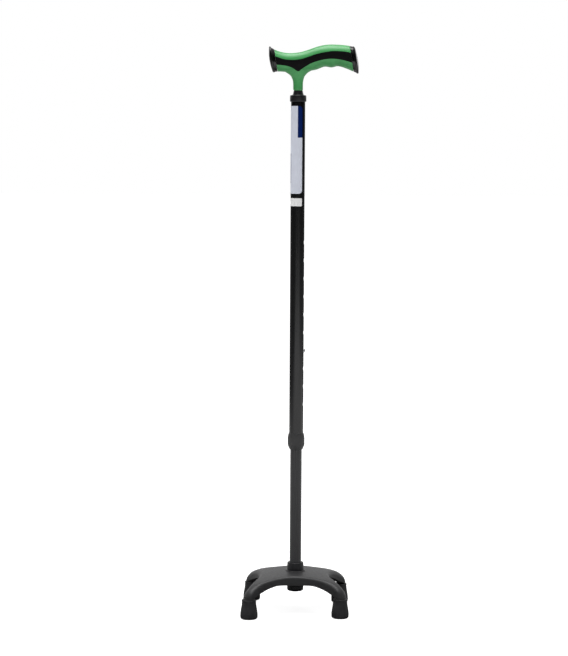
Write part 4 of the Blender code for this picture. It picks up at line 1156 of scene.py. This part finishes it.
class QUADCANE_OT_base(bpy.types.Operator):
    """Arched moulded base with its skirt, ribs, hub seat, boss and leg stubs"""

    bl_idname = "quadcane.base"
    bl_label = "Base"

    def execute(self, context):
        base = base_form("base_blank", 0.0, 0.0, BASE_STEP, BASE_EDGE_ROWS)
        hollow = base_form("base_hollow", SKIRT_T, DECK_T, HOLLOW_STEP, HOLLOW_EDGE_ROWS,
                           -OVERCUT)
        rib_z = DECK_HEIGHT - DECK_T - RIB_HEIGHT + FLAT_PLATE_T
        scrap = [hollow]
        legs = [math.atan2(FEET_SPAN_LEFT, -FEET_SPAN_X), math.atan2(FEET_SPAN_RIGHT, FEET_SPAN_X)]
        for turn in legs + [-turn for turn in legs]:
            way = Vector((math.cos(turn), math.sin(turn), 0.0)) * RIB_LENGTH / 2
            scrap.append(plain_block("rib", (RIB_LENGTH, RIB_T, 2 * FLAT_PLATE_T),
                                     (SHAFT_X + way.x, way.y, rib_z), turn))
            cut(hollow, scrap[-1])
        across = plain_block("rib", (FEET_SPAN_X, RIB_T, 2 * FLAT_PLATE_T),
                             (SHAFT_X, 0.0, rib_z))
        cut(hollow, across)
        cut(base, hollow)
        seat_top, under_deck = DECK_HEIGHT + HUB_SEAT_HEIGHT, DECK_HEIGHT - DECK_T / 2
        seat = new_piece("seat", turned("seat", (
            (0.0, seat_top, 0.0), (HUB_BASE_D / 2 + 0.4 * MM, seat_top, 0.5 * MM),
            (HUB_SEAT_D / 2, DECK_HEIGHT, 0.5 * MM), (HUB_SEAT_D / 2, under_deck, 0.0),
            (0.0, under_deck, 0.0)), (SHAFT_X, 0.0), closed=False))
        below = DECK_HEIGHT - BOSS_HEIGHT
        boss = upright_rod("boss", BOSS_D / 2, below, under_deck)
        bore = upright_rod("bore", LOWER_TUBE_D / 2 + GAP, below + BOSS_FLOOR,
                           DECK_HEIGHT + OVERCUT)
        cut(base, seat, "UNION")
        cut(base, boss, "UNION")
        cut(base, bore)
        scrap += [across, seat, boss, bore]
        for x in (-FOOT_X, FOOT_X):
            for y in (-foot_y_at(x), foot_y_at(x)):
                stub = upright_rod("stub", STUB_D / 2, STUB_LOW, FOOT_HEIGHT + STUB_IN_LEG,
                                   (SHAFT_X + x, y), STUB_SIDES)
                cut(base, stub, "UNION")
                scrap.append(stub)
        settle("base_moulding", take(base),
               moulded_plastic("base grey", colours().moulding_grey, 0.50), "base",
               "base_plastic", "base_frame", sharp=BASE_SHARP_ANGLE)
        for piece in scrap:
            bpy.data.objects.remove(piece)
        return {"FINISHED"}


class QUADCANE_OT_hub(bpy.types.Operator):
    """Collar round the lower tube on the base, and the cap below it"""

    bl_idname = "quadcane.hub"
    bl_label = "Hub"

    def execute(self, context):
        finish = moulded_plastic("hub black", colours().collar_black, 0.44)
        outer = node_width("hub_collar") / 2
        bore = LOWER_TUBE_D / 2 + GAP
        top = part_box("hub_collar")[1].z - 0.6 * MM
        foot = DECK_HEIGHT + HUB_SEAT_HEIGHT
        corners = (
            (outer - 0.3 * MM, top, 2.6 * MM), (outer, top - 5.0 * MM, 1.0 * MM),
            (outer, foot, 0.4 * MM), (bore, foot, 0.1 * MM), (bore, top, 0.3 * MM),
        )
        settle("hub_socket", turned("hub_socket", corners, (SHAFT_X, 0.0)), finish, "base",
               "black_plastic", "hub_collar")
        low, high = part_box("hub_under_cap")
        outer = node_width("hub_under_cap") / 2
        inner, floor = outer - 1.6 * MM, low.z + 1.4 * MM
        corners = (
            (0.0, floor, 0.0), (inner, floor, 0.4 * MM), (inner, high.z, 0.2 * MM),
            (outer, high.z, 0.2 * MM), (outer, low.z + 1.2 * MM, 1.8 * MM),
            (outer - 2.6 * MM, low.z, 2.6 * MM), (0.0, low.z, 0.0),
        )
        settle("hub_button", turned("hub_button", corners, (SHAFT_X, 0.0), closed=False),
               finish, "base", "black_plastic", "hub_under_cap")
        return {"FINISHED"}


class QUADCANE_OT_feet(bpy.types.Operator):
    """Flared rubber feet with a rolled rim, a round lower edge and a ring groove in the sole"""

    bl_idname = "quadcane.feet"
    bl_label = "Feet"

    def execute(self, context):
        rubber = soft_rubber("foot rubber", colours().foot_black, 0.6, 0.6 * MM)
        flare = [(FOOT_BASE_D / 2 - inset * MM, up * MM, 0.9 * MM) for up, inset in FOOT_SIDE]
        for place in FOOT_PLACES:
            node, name = f"foot_{place}", f"rubber_foot_{place}"
            centre, top = node_centre(node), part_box(node)[1].z
            corners = (
                (0.0, 6.0 * MM, 0.0), (7.7 * MM, 6.0 * MM, 0.0), (7.7 * MM, top, 0.2 * MM),
                (9.9 * MM, top, 0.6 * MM), (9.9 * MM, top - 2.0 * MM, 0.6 * MM),
                (9.6 * MM, top - 2.4 * MM, 0.3 * MM), *flare,
                (7.5 * MM, 0.0, 0.2 * MM), (7.5 * MM, 1.1 * MM, 0.2 * MM),
                (4.5 * MM, 1.1 * MM, 0.2 * MM), (4.5 * MM, 0.0, 0.2 * MM), (0.0, 0.0, 0.0),
            )
            settle(name, turned(name, corners, (centre.x, centre.y), closed=False), rubber,
                   "base", "foot_rubber", node)
        return {"FINISHED"}


# Labels

def label_mesh(name, low, high, left, right, corner, radius):
    """A film wrapped round the tube, with rounded corners and its own print coordinates."""
    half_width, half_height = (right - left) / 2 * radius, (high - low) / 2
    middle_angle, middle_z = (left + right) / 2, (low + high) / 2
    shape = bmesh.new()
    prints = shape.loops.layers.uv.new("print")
    grid = []
    for row in range(LABEL_ROWS + 1):
        up = half_height * -math.cos(math.pi * row / LABEL_ROWS)
        inside = max(abs(up) - (half_height - corner), 0.0)
        width = half_width - (corner - math.sqrt(max(corner ** 2 - inside ** 2, 0.0)))
        line = []
        for column in range(LABEL_COLUMNS + 1):
            across = width * (2 * column / LABEL_COLUMNS - 1)
            angle = middle_angle + across / radius
            point = (SHAFT_X + radius * math.sin(angle), -radius * math.cos(angle), middle_z + up)
            line.append((shape.verts.new(point),
                         ((across / half_width + 1) / 2, (up / half_height + 1) / 2)))
        grid.append(line)
    for first, second in zip(grid, grid[1:]):
        for k in range(LABEL_COLUMNS):
            corners = (first[k], first[k + 1], second[k + 1], second[k])
            face = shape.faces.new([vert for vert, _ in corners])
            for loop, (_, spot) in zip(face.loops, corners):
                loop[prints].uv = spot
    return as_mesh(name, shape)


class QUADCANE_OT_labels(bpy.types.Operator):
    """Plain printed film and a small sticker on the upper tube"""

    bl_idname = "quadcane.labels"
    bl_label = "Labels"

    def execute(self, context):
        chosen, tint = sizes(), colours()
        for name, low, high, corner, white, with_panel in (
                ("tube_label", chosen.label_low, chosen.label_high, chosen.label_corner,
                 tint.label_white, True),
                ("tube_sticker", chosen.sticker_low, chosen.sticker_high, STICKER_CORNER,
                 tint.sticker_white, False)):
            mesh = label_mesh(name, low, high, chosen.label_left, chosen.label_right, corner,
                              UPPER_TUBE_D / 2 + FILM_GAP)
            finish = printed_film(name.replace("_", " "), white, with_panel)
            sheet = new_piece(f"{name}_sheet", mesh, finish)
            film = sheet.modifiers.new("film", "SOLIDIFY")
            film.thickness = FILM_T
            film.offset = 1.0
            settle(name, take(sheet), finish, "upper", "black_paint", sharp=FILM_SHARP_ANGLE)
        return {"FINISHED"}


class QUADCANE_OT_fittings(bpy.types.Operator):
    """Finishes of the steel and nylon fittings inside the cane"""

    bl_idname = "quadcane.fittings"
    bl_label = "Inner fittings"

    def execute(self, context):
        steel_nodes = ["handle_stud", "stud_nut", "snap_spring", "tube_plug", "hub_bolt",
                       "hub_washer"] + [f"foot_washer_{place}" for place in FOOT_PLACES]
        for finish, nodes in (
                (bright_steel("plated steel", PLATED_STEEL, 0.32), steel_nodes),
                (moulded_plastic("white nylon", NYLON_WHITE, 0.5), ("lock_ring", "guide_bush")),
                (moulded_plastic("plug black", PLUG_BLACK, 0.5), ("handle_plug",))):
            for name in nodes:
                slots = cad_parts[name].data.materials
                slots.clear()
                slots.append(finish)
        return {"FINISHED"}


# Stage

def area_light(name, power, width, place, in_gloss):
    lamp = bpy.data.lights.new(name, "AREA")
    lamp.shape = "RECTANGLE"
    lamp.size = width
    lamp.size_y = width
    lamp.energy = power
    made = bpy.data.objects.new(name, lamp)
    made.location = place
    made.rotation_euler = (Vector(LAMP_AIM) - Vector(place)).to_track_quat("-Z", "Y").to_euler()
    made.visible_glossy = in_gloss
    bpy.context.scene.collection.objects.link(made)


def seen_by_camera(tree):
    """1 on rays that show the background, as the camera and glass see it, and the gloss rays."""
    path = add(tree, "ShaderNodeLightPath").outputs
    seen = maths(tree, "MAXIMUM", path["Is Camera Ray"], path["Is Transmission Ray"])
    return seen, path["Is Glossy Ray"]


def shader_mix(tree, factor, first, second):
    return result(tree, "ShaderNodeMixShader", (("Fac", factor), (1, first), (2, second)))


def floor_gloss(tree, place, away):
    """How bright the floor looks in gloss: a pale sweep in front, with a painted shadow that makes it
    darker close to the object.
    """
    split = add(tree, "ShaderNodeSeparateXYZ", (("Vector", place),)).outputs
    # Painted shadow: the floor's glow in gloss is dimmed close to the object, standing in for the
    # object's shadow in reflections
    sweep = maths(tree, "POWER", ranged(tree, away, 0.0, FLOOR_GLOSS, *PAINTED_SHADOW_FADE), PAINTED_SHADOW_POWER)
    for axis, low, high, start, end in SWEEP_EDGES:
        sweep = maths(tree, "MULTIPLY", sweep, ranged(tree, split[axis], low, high, start, end))
    side = maths(tree, "ABSOLUTE", split["X"])
    return maths(tree, "MAXIMUM", sweep, ranged(tree, side, 0.0, SIDE_GLOSS, *SIDE_FADE))


def floor_finish():
    """Pale floor: a diffuse part that takes the shadow, and the background's white over it."""
    made = bpy.data.materials.new("studio floor")
    made.use_nodes = True
    tree = made.node_tree
    tree.nodes.clear()
    place = result(tree, "ShaderNodeTexCoord", pick="Object")
    away = result(tree, "ShaderNodeVectorMath", ((0, place),), "Value", operation="LENGTH")
    seen, gloss = seen_by_camera(tree)
    white = maths(tree, "MULTIPLY", ranged(tree, away, FLOOR_WHITE, 1.0, *WHITE_FADE), seen)
    grey = result(tree, "ShaderNodeBsdfDiffuse", (
        ("Color", (FLOOR_GREY, FLOOR_GREY, FLOOR_GREY, 1.0)),))
    glow, sweep = (result(tree, "ShaderNodeEmission", (("Strength", strength),))
                   for strength in (white, floor_gloss(tree, place, away)))
    lit = result(tree, "ShaderNodeAddShader", ((0, grey), (1, glow)))
    add(tree, "ShaderNodeOutputMaterial", (("Surface", shader_mix(tree, gloss, lit, sweep)),))
    return made


def studio_world():
    """Even room light, and a white background that gloss sees behind and above the object."""
    world = bpy.data.worlds.new("studio")
    bpy.context.scene.world = world
    world.use_nodes = True
    tree = world.node_tree
    tree.nodes.clear()
    place = result(tree, "ShaderNodeTexCoord", pick="Generated")
    split = add(tree, "ShaderNodeSeparateXYZ", (("Vector", place),)).outputs
    behind = ranged(tree, split["Y"], 0.0, 1.0, *BEHIND_FADE)
    for low, high, fade in ((0.0, BACKDROP_LIGHT, HORIZON_FADE), (1.0, HIGH_SHARE, HIGH_FADE)):
        behind = maths(tree, "MULTIPLY", behind, ranged(tree, split["Z"], low, high, *fade))
    above = ranged(tree, split["Z"], 0.0, CEILING_LIGHT, *CEILING_FADE)
    backdrop = result(tree, "ShaderNodeBackground", (
        ("Strength", maths(tree, "ADD", behind, above)),))
    room, white = (result(tree, "ShaderNodeBackground", (
        ("Color", (1.0, 1.0, 1.0, 1.0)), ("Strength", strength)))
        for strength in (ROOM_LIGHT, 1.0))
    seen, gloss = seen_by_camera(tree)
    shown = shader_mix(tree, seen, shader_mix(tree, gloss, room, backdrop), white)
    add(tree, "ShaderNodeOutputWorld", (("Surface", shown),))


def photo_camera():
    """The camera at the photograph's place, turn and field of view."""
    lens = bpy.data.cameras.new("photo_camera")
    lens.lens = CAMERA_LENS
    lens.sensor_width = CAMERA_SENSOR
    lens.sensor_fit = "AUTO"
    made = bpy.data.objects.new("photo_camera", lens)
    forward = Vector((-math.sin(CAMERA_YAW) * math.cos(CAMERA_PITCH),
                      math.cos(CAMERA_YAW) * math.cos(CAMERA_PITCH), -math.sin(CAMERA_PITCH)))
    right = Vector((math.cos(CAMERA_YAW), math.sin(CAMERA_YAW), 0.0))
    up = right.cross(forward)
    turned_right = right * math.cos(CAMERA_ROLL) + up * math.sin(CAMERA_ROLL)
    turned_up = up * math.cos(CAMERA_ROLL) - right * math.sin(CAMERA_ROLL)
    axes = Matrix((turned_right, turned_up, -forward)).transposed()
    made.matrix_world = Matrix.Translation(CAMERA_PLACE) @ axes.to_4x4()
    bpy.context.scene.collection.objects.link(made)
    bpy.context.scene.camera = made


class QUADCANE_OT_stage(bpy.types.Operator):
    """Floor, room light, soft lamps and the camera"""

    bl_idname = "quadcane.stage"
    bl_label = "Stage"

    def execute(self, context):
        shape = bmesh.new()
        bmesh.ops.create_grid(shape, x_segments=1, y_segments=1, size=FLOOR_REACH)
        floor = new_piece("studio_floor", as_mesh("studio_floor", shape), floor_finish())
        studio_world()
        for lamp in LAMPS:
            area_light(*lamp)
        photo_camera()
        context.scene.view_settings.view_transform = "Standard"
        return {"FINISHED"}


PIECES = (
    QUADCANE_OT_handle, QUADCANE_OT_end_caps, QUADCANE_OT_neck_collar, QUADCANE_OT_tubes,
    QUADCANE_OT_snap_button, QUADCANE_OT_lock_nut, QUADCANE_OT_base, QUADCANE_OT_hub,
    QUADCANE_OT_feet, QUADCANE_OT_labels, QUADCANE_OT_fittings, QUADCANE_OT_stage,
)


class QUADCANE_PT_panel(bpy.types.Panel):
    """Sizes, colours and pieces of the cane"""

    bl_idname = "QUADCANE_PT_panel"
    bl_label = "Quad Cane"
    bl_space_type = "VIEW_3D"
    bl_region_type = "UI"
    bl_category = "Quad Cane"

    def draw(self, context):
        layout = self.layout
        for group in (context.scene.quad_cane_sizes, context.scene.quad_cane_colours):
            box = layout.box()
            for name in group.bl_rna.properties.keys():
                if name not in {"rna_type", "name"}:
                    box.prop(group, name)
        for piece in PIECES:
            layout.operator(piece.bl_idname)


CLASSES = (QuadCaneSizes, QuadCaneColours, *PIECES, QUADCANE_PT_panel)


def register():
    for each in CLASSES:
        bpy.utils.register_class(each)
    bpy.types.Scene.quad_cane_sizes = PointerProperty(type=QuadCaneSizes)
    bpy.types.Scene.quad_cane_colours = PointerProperty(type=QuadCaneColours)


def unregister():
    del bpy.types.Scene.quad_cane_colours
    del bpy.types.Scene.quad_cane_sizes
    for each in reversed(CLASSES):
        bpy.utils.unregister_class(each)


def main():
    register()
    bpy.ops.quadcane.stage()
    bpy.ops.quadcane.handle()
    bpy.ops.quadcane.end_caps()
    bpy.ops.quadcane.neck_collar()
    bpy.ops.quadcane.tubes()
    bpy.ops.quadcane.snap_button()
    bpy.ops.quadcane.lock_nut()
    bpy.ops.quadcane.base()
    bpy.ops.quadcane.hub()
    bpy.ops.quadcane.feet()
    bpy.ops.quadcane.labels()
    bpy.ops.quadcane.fittings()


if __name__ == "__main__":
    main()
